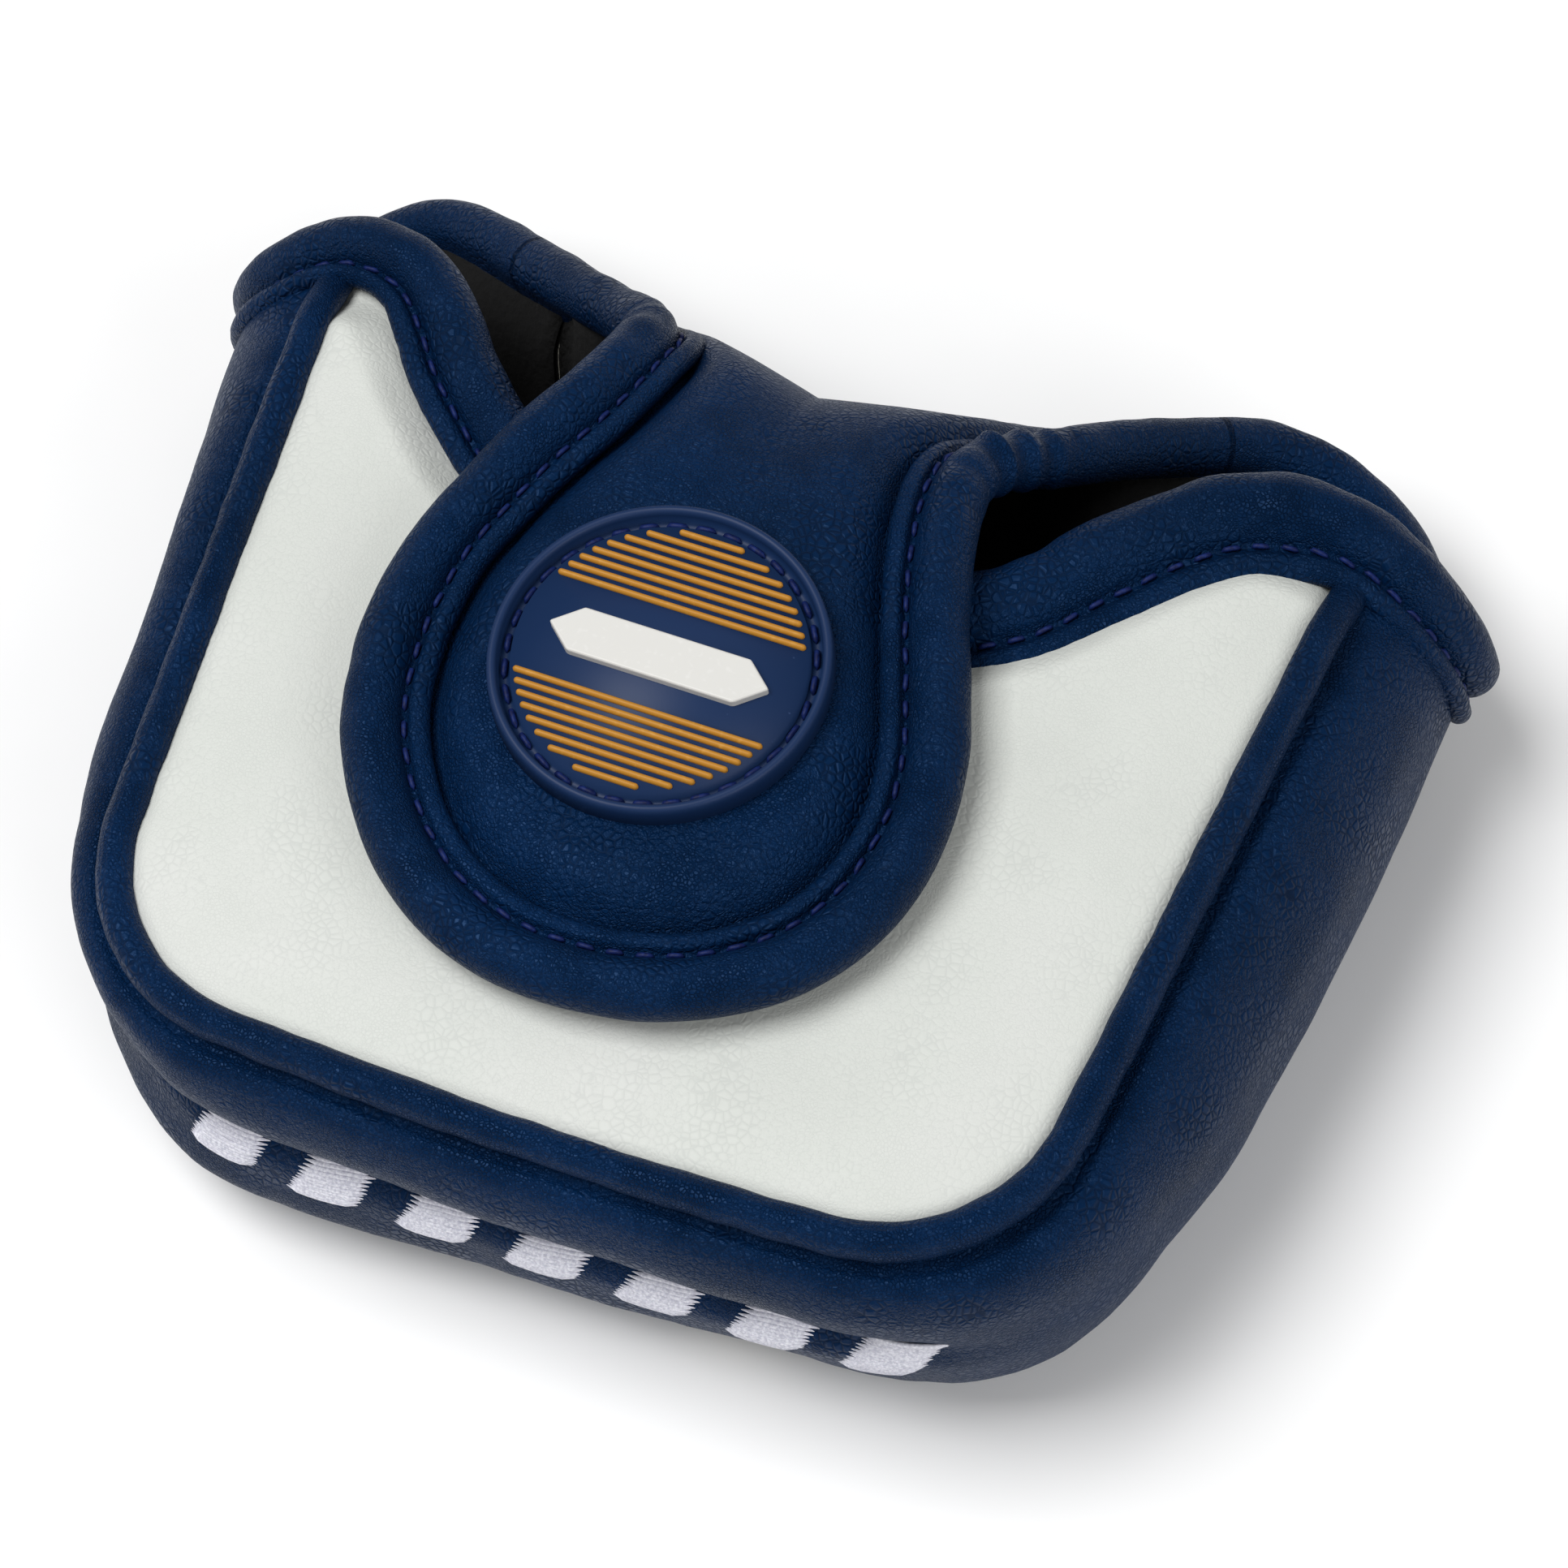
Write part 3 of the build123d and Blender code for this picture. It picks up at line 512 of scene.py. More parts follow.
def bottom_panel_table(columns=121):
    """The flat bottom, curling up at the back to the mouth's far edge and the flap's root."""
    seam = gusset_table(puckers=False)[:, -1, :]
    half = len(seam) // 2
    left_side, right_side = seam[:half + 1], seam[half:][::-1]
    u = np.linspace(-1, 1, columns)
    low_y = seam[half, 1] + 0.4
    y = low_y + (CURL_Y - low_y) * np.linspace(0, 1, 60) ** 1.25
    ends = []
    for rows in (left_side, right_side):
        rows = rows[np.argsort(rows[:, 1])]
        ends.append(np.interp(y, rows[:, 1], rows[:, 0])[:, None])
    x = ends[0] + (ends[1] - ends[0]) * (u + 1) / 2
    flat = np.stack([x, np.tile(y[:, None], columns), np.zeros(x.shape)], axis=-1)
    start, edge = flat[-1], far_edge(columns)
    # the wall leans in over the mouth in the middle, and out at the ears
    steep = np.radians(104 - 52 * ease(np.abs(edge[:, 0] - SPINE_X), 20, 60))
    end_way = np.stack([np.zeros(columns), np.cos(steep), np.sin(steep)], axis=1)
    reach = np.linalg.norm(edge - start, axis=1)[:, None]
    t = np.linspace(0, 1, 46)[1:, None, None]
    curl = ((2 * t**3 - 3 * t**2 + 1) * start + (-2 * t**3 + 3 * t**2) * edge
            + (t**3 - 2 * t**2 + t) * np.array([0.0, 1.0, 0.0]) * reach * CURL_START
            + (t**3 - t**2) * end_way * reach * (CURL_END - 0.5 * ease(np.abs(u), 0.75, 1.0)[:, None]))
    table = np.concatenate([flat, curl], axis=0)
    rim = distance(table[..., :2], np.vstack([left_side, right_side])[:, :2])
    rounding = RIM_RISE * (1 - ease(rim, 0, 9)) * (1 - ease(table[..., 1], CURL_Y, CURL_Y + 14))
    table[..., 2] += FLOOR_Z + rounding - FLOOR_Z * ease(table[..., 2], 2, 10)
    return table


def far_edge(columns):
    """Far edge of the bottom panel: both ears along the binding, and the flap's root between."""
    left, right = (even(spline([row[:3] for row in rows]), 60)
                   for rows in (MOUTH_LEFT[EAR_LOW_LEFT:] + [FLAP_LEFT[1]],
                                MOUTH_RIGHT[EAR_LOW:] + [FLAP_RIGHT[-2]]))
    return even(np.vstack([left[:-1], flap_table()[0], right[::-1][1:]]), columns)


# ---- bindings ----
# Closed section of the binding: across, towards the open edge, and up from the sheet's middle.
BINDING_SECTION = [(-6.3, -0.9), (-6.5, 0.1), (-6.1, 1.0), (-5.3, 1.45), (-4.45, 1.3), (-3.95, 0.35),
                   (-3.4, 0.35), (-2.95, 1.6), (-2.0, 2.75), (-0.8, 3.4), (0.6, 3.45), (1.9, 2.85),
                   (2.9, 1.85), (3.4, 0.5), (3.3, -0.9), (2.6, -2.2), (1.3, -3.1), (-0.3, -3.35),
                   (-2.2, -2.7), (-4.4, -2.0), (-6.3, -0.9)]
GROOVE = (-3.68, 0.6)  # where the stitches lie in that section
THREAD_RADIUS = 0.32
FILLER_Z = 39.5        # the flap's filler starts above this, clear of the bend
STITCH_PITCH = 3.3
STITCH_LENGTH = 2.1


def binding_table(rows):
    """The double roll swept along the closed loop."""
    rows = np.concatenate([rows[-4:-1], rows, rows[1:4]])
    line = rows[:, :3]
    _, across, up = side_frames(line, unit(rows[:, 3:6]))
    section = spline(BINDING_SECTION, 3)
    stretch = np.where(section[None, :, 0] < 0, rows[:, 7:8], 1.0)
    table = (line[:, None] + across[:, None] * (section[None, :, 0] * stretch)[..., None]
             + up[:, None] * section[None, :, 1:2])
    on_lip = np.exp(-((section[:, 0] + 5.4) / 1.3) ** 2)[None, :] * (section[:, 1] > -0.6)[None, :]
    on_roll = ease(section[:, 1], -1.0, 2.0)[None, :] * ease(section[:, 0], -2.8, -1.0)[None, :]
    push = 0.14 * rumple(line, 1.15)[:, None] * on_lip
    push = push + 0.22 * rumple(line, 5.5, 7.0)[:, None] * (0.4 + on_roll)
    push = push + (0.16 * rumple(table, 3.6, 1.0) + 0.22 * rumple(table, 9.0, 2.0)) * on_roll
    # puckers of the gathered corners
    folds = rumple(line, 1.7, 4.0) * 1.3 + np.sin(lengths(line) * 2 * math.pi / 4.6)
    outer = on_roll + 0.6 * (1 - on_roll) * (section[None, :, 0] > 0)
    push = push + (rows[:, 6] * folds)[:, None] * 0.62 * outer
    return (table + unit(table - line[:, None, :]) * push[..., None])[3:-3]


def groove_frames(rows):
    """Places and directions of the stitches in the binding's groove."""
    line = rows[:, :3]
    along, across, up = side_frames(line, unit(rows[:, 3:6]))
    seat = line + across * GROOVE[0] * rows[:, 7:8] + up * GROOVE[1]
    whole = lengths(seat)[-1]
    count = int(whole / STITCH_PITCH)
    places = np.linspace(0, 1, count, endpoint=False) + 0.5 / count
    return at_lengths(np.hstack([seat, along, up]), places * whole)


def stitches_object(name, places, length, radius, rng):
    """Short raised threads that dive into the leather at both ends."""
    bm = bmesh.new()
    for row in places:
        spot, along, up = row[:3], row[3:6], row[6:9]
        side = np.cross(up, along)
        half = length / 2 * rng.uniform(0.92, 1.06)
        lean = rng.uniform(-0.12, 0.12)
        t = np.linspace(-1, 1, 7)[:, None]
        arch = radius * 1.15 * (1 - t**4) - radius * 0.9
        line = spot + along * half * t + up * arch + side * lean * t
        _, across, rise = side_frames(line, np.tile(up, (7, 1)))
        section = circle(7) * radius
        closed_tube(ring_table(line, across, rise, section, round_ends(line, radius)), bm)
    return new_object(name, bm)


# ---- materials ----
NOISE, VORONOI, BUMP = "ShaderNodeTexNoise", "ShaderNodeTexVoronoi", "ShaderNodeBump"
MAP_RANGE, MIX = "ShaderNodeMapRange", "ShaderNodeMix"


def srgb(code):
    """An sRGB hex value as linear colour."""
    def linear(value):
        return value / 12.92 if value <= 0.04045 else ((value + 0.055) / 1.055) ** 2.4
    parts = [int(code[i:i + 2], 16) / 255 for i in (1, 3, 5)]
    return tuple(linear(value) for value in parts) + (1.0,)


def add_node(tree, kind, settings=None, links=None):
    """Adds a shader node, sets its properties and unlinked sockets, and joins it to others."""
    node = tree.nodes.new(kind)
    for key, value in (settings or {}).items():
        if isinstance(key, str) and hasattr(node, key) and key not in node.inputs:
            setattr(node, key, value)
        else:
            node.inputs[key].default_value = value
    for key, source in (links or {}).items():
        tree.links.new(source, node.inputs[key])
    return node


def new_material(name):
    """The nodes of a new material, and the place on the object in metres."""
    material = bpy.data.materials.new(name)
    material.use_nodes = True
    tree = material.node_tree
    tree.nodes.clear()
    return tree, add_node(tree, "ShaderNodeTexCoord").outputs["Object"]


def finish_material(tree, settings, links):
    """Ends a material with its shader, set and joined up."""
    shader = add_node(tree, "ShaderNodeBsdfPrincipled", settings, links)
    add_node(tree, "ShaderNodeOutputMaterial", links={"Surface": shader.outputs[0]})


def ramp(tree, factor, stops):
    """A colour ramp with (position, hex) stops."""
    node = add_node(tree, "ShaderNodeValToRGB", links={"Fac": factor})
    elements = node.color_ramp.elements
    while len(elements) < len(stops):
        elements.new(0.5)
    for element, (position, code) in zip(elements, stops):
        element.position = position
        element.color = srgb(code)
    return node.outputs["Color"]


def leatherette(name, tones, roughness, shine, grain_mm, strength, crease_shade_depth, tint="#ffffff"):
    """Polyurethane leatherette, an embossed and printed sheet with a satin top coat.

    It gives pebbled cells with fine creases between them, duller in the creases and darkened there with
    painted shade, finer in patches, and slowly uneven in tone.
    """
    tree, point = new_material(name)
    scale = 1 / (grain_mm * MM)
    bent = add_node(tree, NOISE, {"Scale": scale / 5, "Detail": 2.0}, {"Vector": point})
    wander = add_node(tree, "ShaderNodeVectorMath", {"operation": "SCALE", "Scale": grain_mm * MM * 1.2},
                      {0: bent.outputs["Color"]})
    moved = add_node(tree, "ShaderNodeVectorMath", {"operation": "ADD"}, {0: point, 1: wander.outputs[0]})
    creases = []
    for fineness, reach, kind in ((1.0, 0.25, "SMOOTHSTEP"), (2.3, 0.2, "LINEAR")):
        cells = add_node(tree, VORONOI, {"feature": "DISTANCE_TO_EDGE", "Scale": scale * fineness},
                         {"Vector": moved.outputs[0]})
        creases.append(add_node(tree, MAP_RANGE, {"From Max": reach, "interpolation_type": kind},
                                {"Value": cells.outputs["Distance"]}))
    patch = add_node(tree, NOISE, {"Scale": scale / 9, "Detail": 3.0}, {"Vector": point})
    where = add_node(tree, MAP_RANGE, {"From Min": 0.38, "From Max": 0.66}, {"Value": patch.outputs["Fac"]})
    grain = add_node(tree, MIX, {"data_type": "FLOAT"},
                     {0: where.outputs[0], 2: creases[0].outputs[0], 3: creases[1].outputs[0]})
    speck = add_node(tree, NOISE, {"Scale": scale * 3.5, "Detail": 2.0}, {"Vector": point})
    first = add_node(tree, BUMP, {"Strength": strength, "Distance": 0.20 * MM},
                     {"Height": grain.outputs[0]})
    second = add_node(tree, BUMP, {"Strength": strength * 0.25, "Distance": 0.05 * MM},
                      {"Height": speck.outputs["Fac"], "Normal": first.outputs[0]})
    tone = add_node(tree, NOISE, {"Scale": 1 / (26 * MM), "Detail": 4.0}, {"Vector": point})
    base = ramp(tree, tone.outputs["Fac"], list(zip((0.32, 0.5, 0.7), tones)))
    # Painted shade: the colour is multiplied darker towards the grain's creases.
    crease_shade = add_node(tree, MAP_RANGE, {"From Max": 0.3, "To Min": crease_shade_depth, "To Max": 0.0},
                    {"Value": grain.outputs[0]})
    shade = add_node(tree, MIX, {"data_type": "RGBA", "blend_type": "MULTIPLY", 7: srgb("#8a8f98")},
                     {0: crease_shade.outputs[0], 6: base})
    gloss = add_node(tree, MAP_RANGE, {"To Min": roughness + 0.2, "To Max": roughness - 0.04},
                     {"Value": grain.outputs[0]})
    finish_material(tree, {"Specular IOR Level": shine, "Specular Tint": srgb(tint)},
                    {"Normal": second.outputs[0], "Base Color": shade.outputs[2],
                     "Roughness": gloss.outputs[0]})


def moulded_pvc(name, code, light, roughness, speck):
    """Soft moulded PVC: an even matt skin with a very fine orange peel and faint dust specks."""
    tree, point = new_material(name)
    peel = add_node(tree, NOISE, {"Scale": 1 / (0.5 * MM), "Detail": 3.0}, {"Vector": point})
    bump = add_node(tree, BUMP, {"Strength": 0.10, "Distance": 0.05 * MM}, {"Height": peel.outputs["Fac"]})
    dust = add_node(tree, NOISE, {"Scale": 1 / (0.8 * MM), "Detail": 1.0}, {"Vector": point})
    tone = ramp(tree, dust.outputs["Fac"], [(0.3, code), (speck, code), (0.86, light)])
    finish_material(tree, {"Roughness": roughness, "Specular IOR Level": 0.22},
                    {"Base Color": tone, "Normal": bump.outputs[0]})


def fibrous(name, kind, pitch_mm, settings, stops, bump, bump_mm, roughness, shine=0.5):
    """A finish whose tone and bump both follow one pattern of this pitch, so that its hollows are painted
    darker and its raised parts lighter: painted shade and painted highlight.
    """
    tree, point = new_material(name)
    pattern = add_node(tree, kind, {"Scale": 1 / (pitch_mm * MM), **settings}, {"Vector": point}).outputs[0]
    raised = add_node(tree, BUMP, {"Strength": bump, "Distance": bump_mm * MM}, {"Height": pattern})
    # painted shade and highlight: the ramp's dark colour falls in the bump's hollows and its light colour
    # on its tops
    finish_material(tree, {"Roughness": roughness, "Specular IOR Level": shine},
                    {"Base Color": ramp(tree, pattern, stops), "Normal": raised.outputs[0]})


def spun_thread(name, code, light, twist_mm):
    """Bonded polyester thread: bright strands with painted highlights over a darker core in painted shade,
    with a silky sheen.
    """
    fibrous(name, NOISE, twist_mm, {"Detail": 2.0}, [(0.35, code), (0.65, light)], 0.35, 0.08, 0.55, 0.2)


def plush(name, code, light):
    """Short knitted pile: a soft uneven nap, black and set near pure black so that it also paints the shade
    inside the mouth.
    """
    fibrous(name, NOISE, 1.1, {"Detail": 4.0}, [(0.35, code), (0.7, light)], 0.8, 0.5, 0.95)


def open_foam(name, code, light):
    """Open-cell polyurethane foam: pale, with round pores about 0.8 mm across, darkened inside with painted
    shade.
    """
    fibrous(name, VORONOI, 0.8, {}, [(0.2, code), (0.6, light)], 0.6, 0.3, 0.9)


def nickel(name):
    """Nickel-plated steel disc: bright with fine turned scratches."""
    tree, point = new_material(name)
    scratch = add_node(tree, NOISE, {"Scale": 1 / (0.3 * MM), "Detail": 2.0}, {"Vector": point})
    rough = add_node(tree, MAP_RANGE, {"To Min": 0.22, "To Max": 0.38}, {"Value": scratch.outputs["Fac"]})
    finish_material(tree, {"Base Color": srgb("#c9c6bf"), "Metallic": 1.0}, {"Roughness": rough.outputs[0]})


def studio_paper(name):
    """Matt white background paper, faintly mottled."""
    tree, point = new_material(name)
    fibre = add_node(tree, NOISE, {"Scale": 1 / (40 * MM), "Detail": 3.0}, {"Vector": point})
    tone = ramp(tree, fibre.outputs["Fac"], [(0.3, "#f8f8f8"), (0.7, "#fbfbfb")])
    finish_material(tree, {"Roughness": 0.9}, {"Base Color": tone})


def materials():
    """Every finish by its name, made once."""
    made = bpy.data.materials
    if "pebbled_navy_leatherette" not in made:
        colours = bpy.context.scene.cover_colours
        leatherette("pebbled_navy_leatherette", (colours.navy_dark, colours.navy, colours.navy_light),
                    0.40, 0.24, 1.0, 0.85, 0.70, "#86b4f2")
        leatherette("pebbled_white_leatherette", ("#c9ccc7", "#cccfca", "#cfd1cd"),
                    0.50, 0.15, 1.0, 0.22, 0.10)
        moulded_pvc("navy_pvc", "#142b50", "#3a4f78", 0.46, 0.8)
        moulded_pvc("ochre_pvc", colours.ochre, "#c08c3c", 0.42, 0.6)
        moulded_pvc("white_pvc", "#d0cfcb", "#d8d7d4", 0.40, 0.6)
        spun_thread("bonded_navy_thread", "#061340", "#0f235c", 0.5)
        spun_thread("satin_white_thread", "#c9c9d6", "#eeeef6", 0.35)
        # the lining's near-black colour is partly its own black and partly painted shade inside the mouth
        plush("black_plush", "#010101", "#050506")
        open_foam("open_cell_foam", "#b9b4a6", "#d8d4c8")
        nickel("nickel_steel")
        studio_paper("studio_paper")
    return made


SLOT_FINISH = {
    "white_leatherette": "pebbled_white_leatherette", "navy_leatherette": "pebbled_navy_leatherette",
    "padding_foam": "open_cell_foam", "plush_lining": "black_plush", "filler_cord": "open_cell_foam",
    "magnet_steel": "nickel_steel", "badge_rubber_navy": "navy_pvc", "badge_rubber_ochre": "ochre_pvc",
    "badge_rubber_white": "white_pvc", "navy_thread": "bonded_navy_thread",
    "white_thread": "satin_white_thread",
}


def place(obj, slot, nodes, body="pouch"):
    """Gives a piece its finish and its place in the frame, and hides the CAD nodes that it stands for.

    The body "bend" is the leather that crosses from the pouch to the flap.
    """
    obj.data.materials.clear()
    obj.data.materials.append(materials()[SLOT_FINISH[slot]])
    if body == "bend":
        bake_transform(obj)
    else:
        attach(obj, body)
    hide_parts(*nodes)


# ---- settings ----
LENGTH = {"unit": "LENGTH", "subtype": "DISTANCE"}


class CoverColours(bpy.types.PropertyGroup):
    navy: StringProperty(name="Navy", description="Middle tone of the navy leatherette", default="#031d3d")
    navy_dark: StringProperty(name="Navy, dark", description="Darkest tone of the navy", default="#021936")
    navy_light: StringProperty(name="Navy, light", description="Lightest tone of the navy",
                               default="#042144")
    ochre: StringProperty(name="Ochre", description="Stripes of the badge", default="#b07a2a")


class CoverSizes(bpy.types.PropertyGroup):
    skin: FloatProperty(name="Leatherette", description="Thickness of the leatherette",
                        default=1.2 * MM, **LENGTH)
    foam: FloatProperty(name="Padding", description="Thickness of the pouch's foam",
                        default=2.7 * MM, **LENGTH)
    lining: FloatProperty(name="Lining", description="Thickness of the plush lining",
                          default=0.8 * MM, **LENGTH)
    piping: FloatProperty(name="Piping radius", description="Radius of the piping",
                          default=2.1 * MM, **LENGTH)
    cord: FloatProperty(name="Cord radius", description="Radius of the cord in the piping",
                        default=1.2 * MM, **LENGTH)
    filler: FloatProperty(name="Filler radius", description="Radius of the binding's filler",
                          default=1.3 * MM, **LENGTH)
    lens: FloatProperty(name="Focal length", description="Of the camera, in millimetres", default=115.8)


def sizes():
    return bpy.context.scene.cover_sizes


# ---- operators ----
def panel(part, slot, table, under=None):
    """One panel of the pouch: its leather, with foam and lining that thin into the mouth's binding."""
    own = sizes()
    skin, foam, lining = own.skin / MM, own.foam / MM, own.lining / MM
    leather = sheet_object(part + "_leather", table, INSIDE, skin)
    place(leather, slot, [part + "_skin"])
    table = table if under is None else under
    coarse, turned = table[::2, ::2], outward(table, INSIDE)[::2, ::2]
    rim = binding_loop()[0][::5, :3]
    away = np.min(np.linalg.norm(coarse[:, :, None] - rim[None, None], axis=-1), axis=2)
    loft = (0.12 + 0.88 * ease(away, 1.5, 9.0))[..., None]
    outer = coarse - turned * (skin + 0.05)
    inner = outer - turned * foam * loft
    padding = shell_object(part + "_foam_pad", outer, inner)
    place(padding, "padding_foam", [part + "_foam"])
    plush_sheet = shell_object(part + "_plush", inner - turned * 0.05, inner - turned * (0.05 + lining))
    place(plush_sheet, "plush_lining", [part + "_lining"])


class COVER_OT_top_panel(bpy.types.Operator):
    """Build the white top panel with its foam and lining"""
    bl_idname = "cover.top_panel"
    bl_label = "Top panel"

    def execute(self, context):
        panel("top_panel", "white_leatherette", top_panel_table())
        return {"FINISHED"}


class COVER_OT_gusset(bpy.types.Operator):
    """Build the gusset round the front and both sides"""
    bl_idname = "cover.gusset"
    bl_label = "Gusset"

    def execute(self, context):
        panel("gusset", "navy_leatherette", gusset_table(), gusset_table(110, puckers=False))
        return {"FINISHED"}


class COVER_OT_bottom_panel(bpy.types.Operator):
    """Build the bottom panel, which curls up at the back"""
    bl_idname = "cover.bottom_panel"
    bl_label = "Bottom panel"

    def execute(self, context):
        panel("bottom_panel", "navy_leatherette", bottom_panel_table())
        return {"FINISHED"}


class COVER_OT_piping(bpy.types.Operator):
    """Build the pipings of the top and bottom seams with their cords"""
    bl_idname = "cover.piping"
    bl_label = "Pipings"

    def execute(self, context):
        own = sizes()
        for name, line in (("top_piping", top_piping_line()), ("bottom_piping", bottom_piping_line())):
            leather = piping_object(name + "_leather", line, own.piping / MM)
            place(leather, "navy_leatherette", [name])
            cord = new_object(name + "_filler", simple_tube(line[::3], own.cord / MM))
            place(cord, "filler_cord", [name + "_cord"])
        return {"FINISHED"}


def top_piping_line():
    """Along the top seam from ear to ear, dipping under the mouth's binding at both ends."""
    shares = np.linspace(0, 1, 260)
    z = 40.7 - 3.6 * ease(shares, 0.92, 1.0)
    right, left = (np.column_stack([outline_row(*SEAM[side], PIPING_BACK, shares)[0] * (side, 1), z])
                   for side in (1, -1))
    return even(np.vstack([left[::-1][:-1], right]), 620)


def bottom_piping_line():
    """Along the bottom seam, rising with the curled back."""
    seam = gusset_table(puckers=False)[2:-2, -1, :]
    seam[:, 2] = np.maximum(seam[:, 2] - 0.2, 2.35)
    return even(seam, 420)


def piping_object(name, line, radius):
    """A slightly uneven round piping with a flattened seam allowance."""
    _, across, up = side_frames(line, np.array([0.01, 0.01, 1.0]))
    table = ring_table(line, across, up, circle(18) * radius, round_ends(line, radius))
    away = unit(table - line[:, None, :])
    push = rumple(table, 3.4, 2.0) * 0.16 + rumple(table, 11.0, 6.0) * 0.14
    return new_object(name, closed_tube(table + away * push[..., None]))


class COVER_OT_bindings(bpy.types.Operator):
    """Build the rolled bindings of the mouth and the flap, with fillers and stitches"""
    bl_idname = "cover.bindings"
    bl_label = "Bindings"

    def execute(self, context):
        rng = np.random.default_rng(SEED)
        rows, join = binding_loop()
        table = binding_table(rows)
        shares = (("mouth", "pouch", rows[:join + 1], table[:join + 2]),
                  ("flap", "bend", rows[join:], np.concatenate([table[join - 1:], table[1:3]])))
        for part, body, line, tube in shares:
            roll = new_object(part + "_binding_leather", closed_tube(tube))
            place(roll, "navy_leatherette", [part + "_binding"], body)
            filled = line if part == "mouth" else line[line[:, 2] > FILLER_Z]
            core = new_object(part + "_binding_core", simple_tube(filled[::5, :3], sizes().filler / MM))
            place(core, "filler_cord", [part + "_binding_filler"], body)
            thread = stitches_object(part + "_binding_stitches", groove_frames(line),
                                     STITCH_LENGTH, THREAD_RADIUS, rng)
            place(thread, "navy_thread", [part + "_stitching"], body)
        return {"FINISHED"}


class COVER_OT_flap(bpy.types.Operator):
    """Build the flap's upper leather, foam and underside"""
    bl_idname = "cover.flap"
    bl_label = "Flap"

    def execute(self, context):
        below = (SPINE_X, 20.0, 30.0)
        skin = sheet_object("flap_leather", flap_table(), below, sizes().skin / MM)
        place(skin, "navy_leatherette", ["flap_skin"], "bend")
        layers = ((-1.3, -1.9), (ALL_FLOOR, -2.2))
        foam = shell_object("flap_padding", *(flap_table(*lift, 20, 60)[4:, 2:-2] for lift in layers))
        place(foam, "padding_foam", ["flap_foam"], "bend")
        under = sheet_object("flap_underside", flap_table(ALL_FLOOR, -2.3, 20, 60), below, 1.0)
        place(under, "navy_leatherette", ["flap_lining"], "bend")
        return {"FINISHED"}


# ---- badge ----
# Half section of the disc: face, stitched groove, rounded rim and foot.
BADGE_PROFILE = [(0.0, 2.4), (16.45, 2.4), (16.6, 1.0), (17.75, 1.0), (17.9, 2.4), (18.0, 2.95),
                 (18.3, 3.2), (18.65, 3.2), (18.95, 2.9), (19.05, 2.2), (19.15, 0.1), (18.8, -0.2),
                 (0.0, -0.2)]
BADGE_STEPS = 128
FACE_RISE = 2.5       # the ribs' middle above the disc's foot
STRIPE_FIRST = 6.4
STRIPE_PITCH = 1.28
STRIPE_ROWS = 8
STRIPE_RADIUS = 0.37
STRIPE_LIMIT = 16.2
BAR_LENGTH = 26.0
BAR_WIDTH = 5.6
BAR_POINT = 3.2
BAR_RISE = 1.1
BADGE_STITCHES = 34
GROOVE_RADIUS = 17.15


def badge_base_object():
    """A disc spun round its axis: face, stitched groove and rounded rim."""
    bm = bmesh.new()
    verts = [bm.verts.new((x, 0.0, z)) for x, z in BADGE_PROFILE]
    edges = [bm.edges.new(pair) for pair in zip(verts, verts[1:])]
    bmesh.ops.spin(bm, geom=verts + edges, cent=(0, 0, 0), axis=(0, 0, 1), angle=2 * math.pi,
                   steps=BADGE_STEPS, use_merge=True)
    bmesh.ops.remove_doubles(bm, verts=bm.verts, dist=0.001)
    bmesh.ops.recalc_face_normals(bm, faces=bm.faces)
    bmesh.ops.translate(bm, vec=(BADGE_X, BADGE_Y, BADGE_FOOT), verts=bm.verts)
    return new_object("badge_disc", bm)


def badge_stripes_object():
    """Rounded ribs across the disc above and below the bar."""
    bm = bmesh.new()
    for side in (-1, 1):
        for i in range(STRIPE_ROWS):
            y = STRIPE_FIRST + STRIPE_PITCH * i
            if y + STRIPE_RADIUS > STRIPE_LIMIT - 0.3:
                continue
            half = math.sqrt(STRIPE_LIMIT ** 2 - (y + STRIPE_RADIUS) ** 2)
            end = np.array([half, half - 0.1, half - 0.25])     # close rows, for the round ends
            x = np.concatenate([-end, np.linspace(0.45 - half, half - 0.45, 7), end[::-1]])
            line = np.stack([BADGE_X + x, np.full(len(x), BADGE_Y + side * y),
                             np.full(len(x), BADGE_FOOT + FACE_RISE)], axis=1)
            _, across, up = side_frames(line, UP)
            section = circle(12) * np.array([STRIPE_RADIUS, STRIPE_RADIUS * 1.25])
            closed_tube(ring_table(line, across, up, section, round_ends(line, STRIPE_RADIUS)), bm)
    return new_object("badge_ribs", bm)


def badge_bar_object():
    """A plain raised bar with pointed ends and bevelled edges."""
    bm = bmesh.new()
    straight, half = BAR_LENGTH / 2 - BAR_POINT, BAR_WIDTH / 2
    outline = [(BAR_LENGTH / 2, 0), (straight, half), (-straight, half), (-BAR_LENGTH / 2, 0),
               (-straight, -half), (straight, -half)]
    face = bm.faces.new([bm.verts.new((x, y, 0.0)) for x, y in outline])
    top = bmesh.ops.extrude_face_region(bm, geom=[face])
    lifted = [g for g in top["geom"] if isinstance(g, bmesh.types.BMVert)]
    bmesh.ops.translate(bm, vec=(0, 0, BAR_RISE + 0.3), verts=lifted)
    rim = [e for e in bm.edges if all(v.co.z > 0.5 for v in e.verts)]
    corners = [e for e in bm.edges if abs(e.verts[0].co.z - e.verts[1].co.z) > 0.5]
    bmesh.ops.bevel(bm, geom=rim + corners, offset=0.28, offset_type="OFFSET", affect="EDGES",
                    segments=3, profile=0.5, material=-1)
    bmesh.ops.recalc_face_normals(bm, faces=bm.faces)
    bmesh.ops.translate(bm, vec=(BADGE_X, BADGE_Y, BADGE_FOOT + 2.1), verts=bm.verts)
    obj = new_object("badge_motif_bar", bm)
    for polygon in obj.data.polygons:
        polygon.use_smooth = False
    return obj


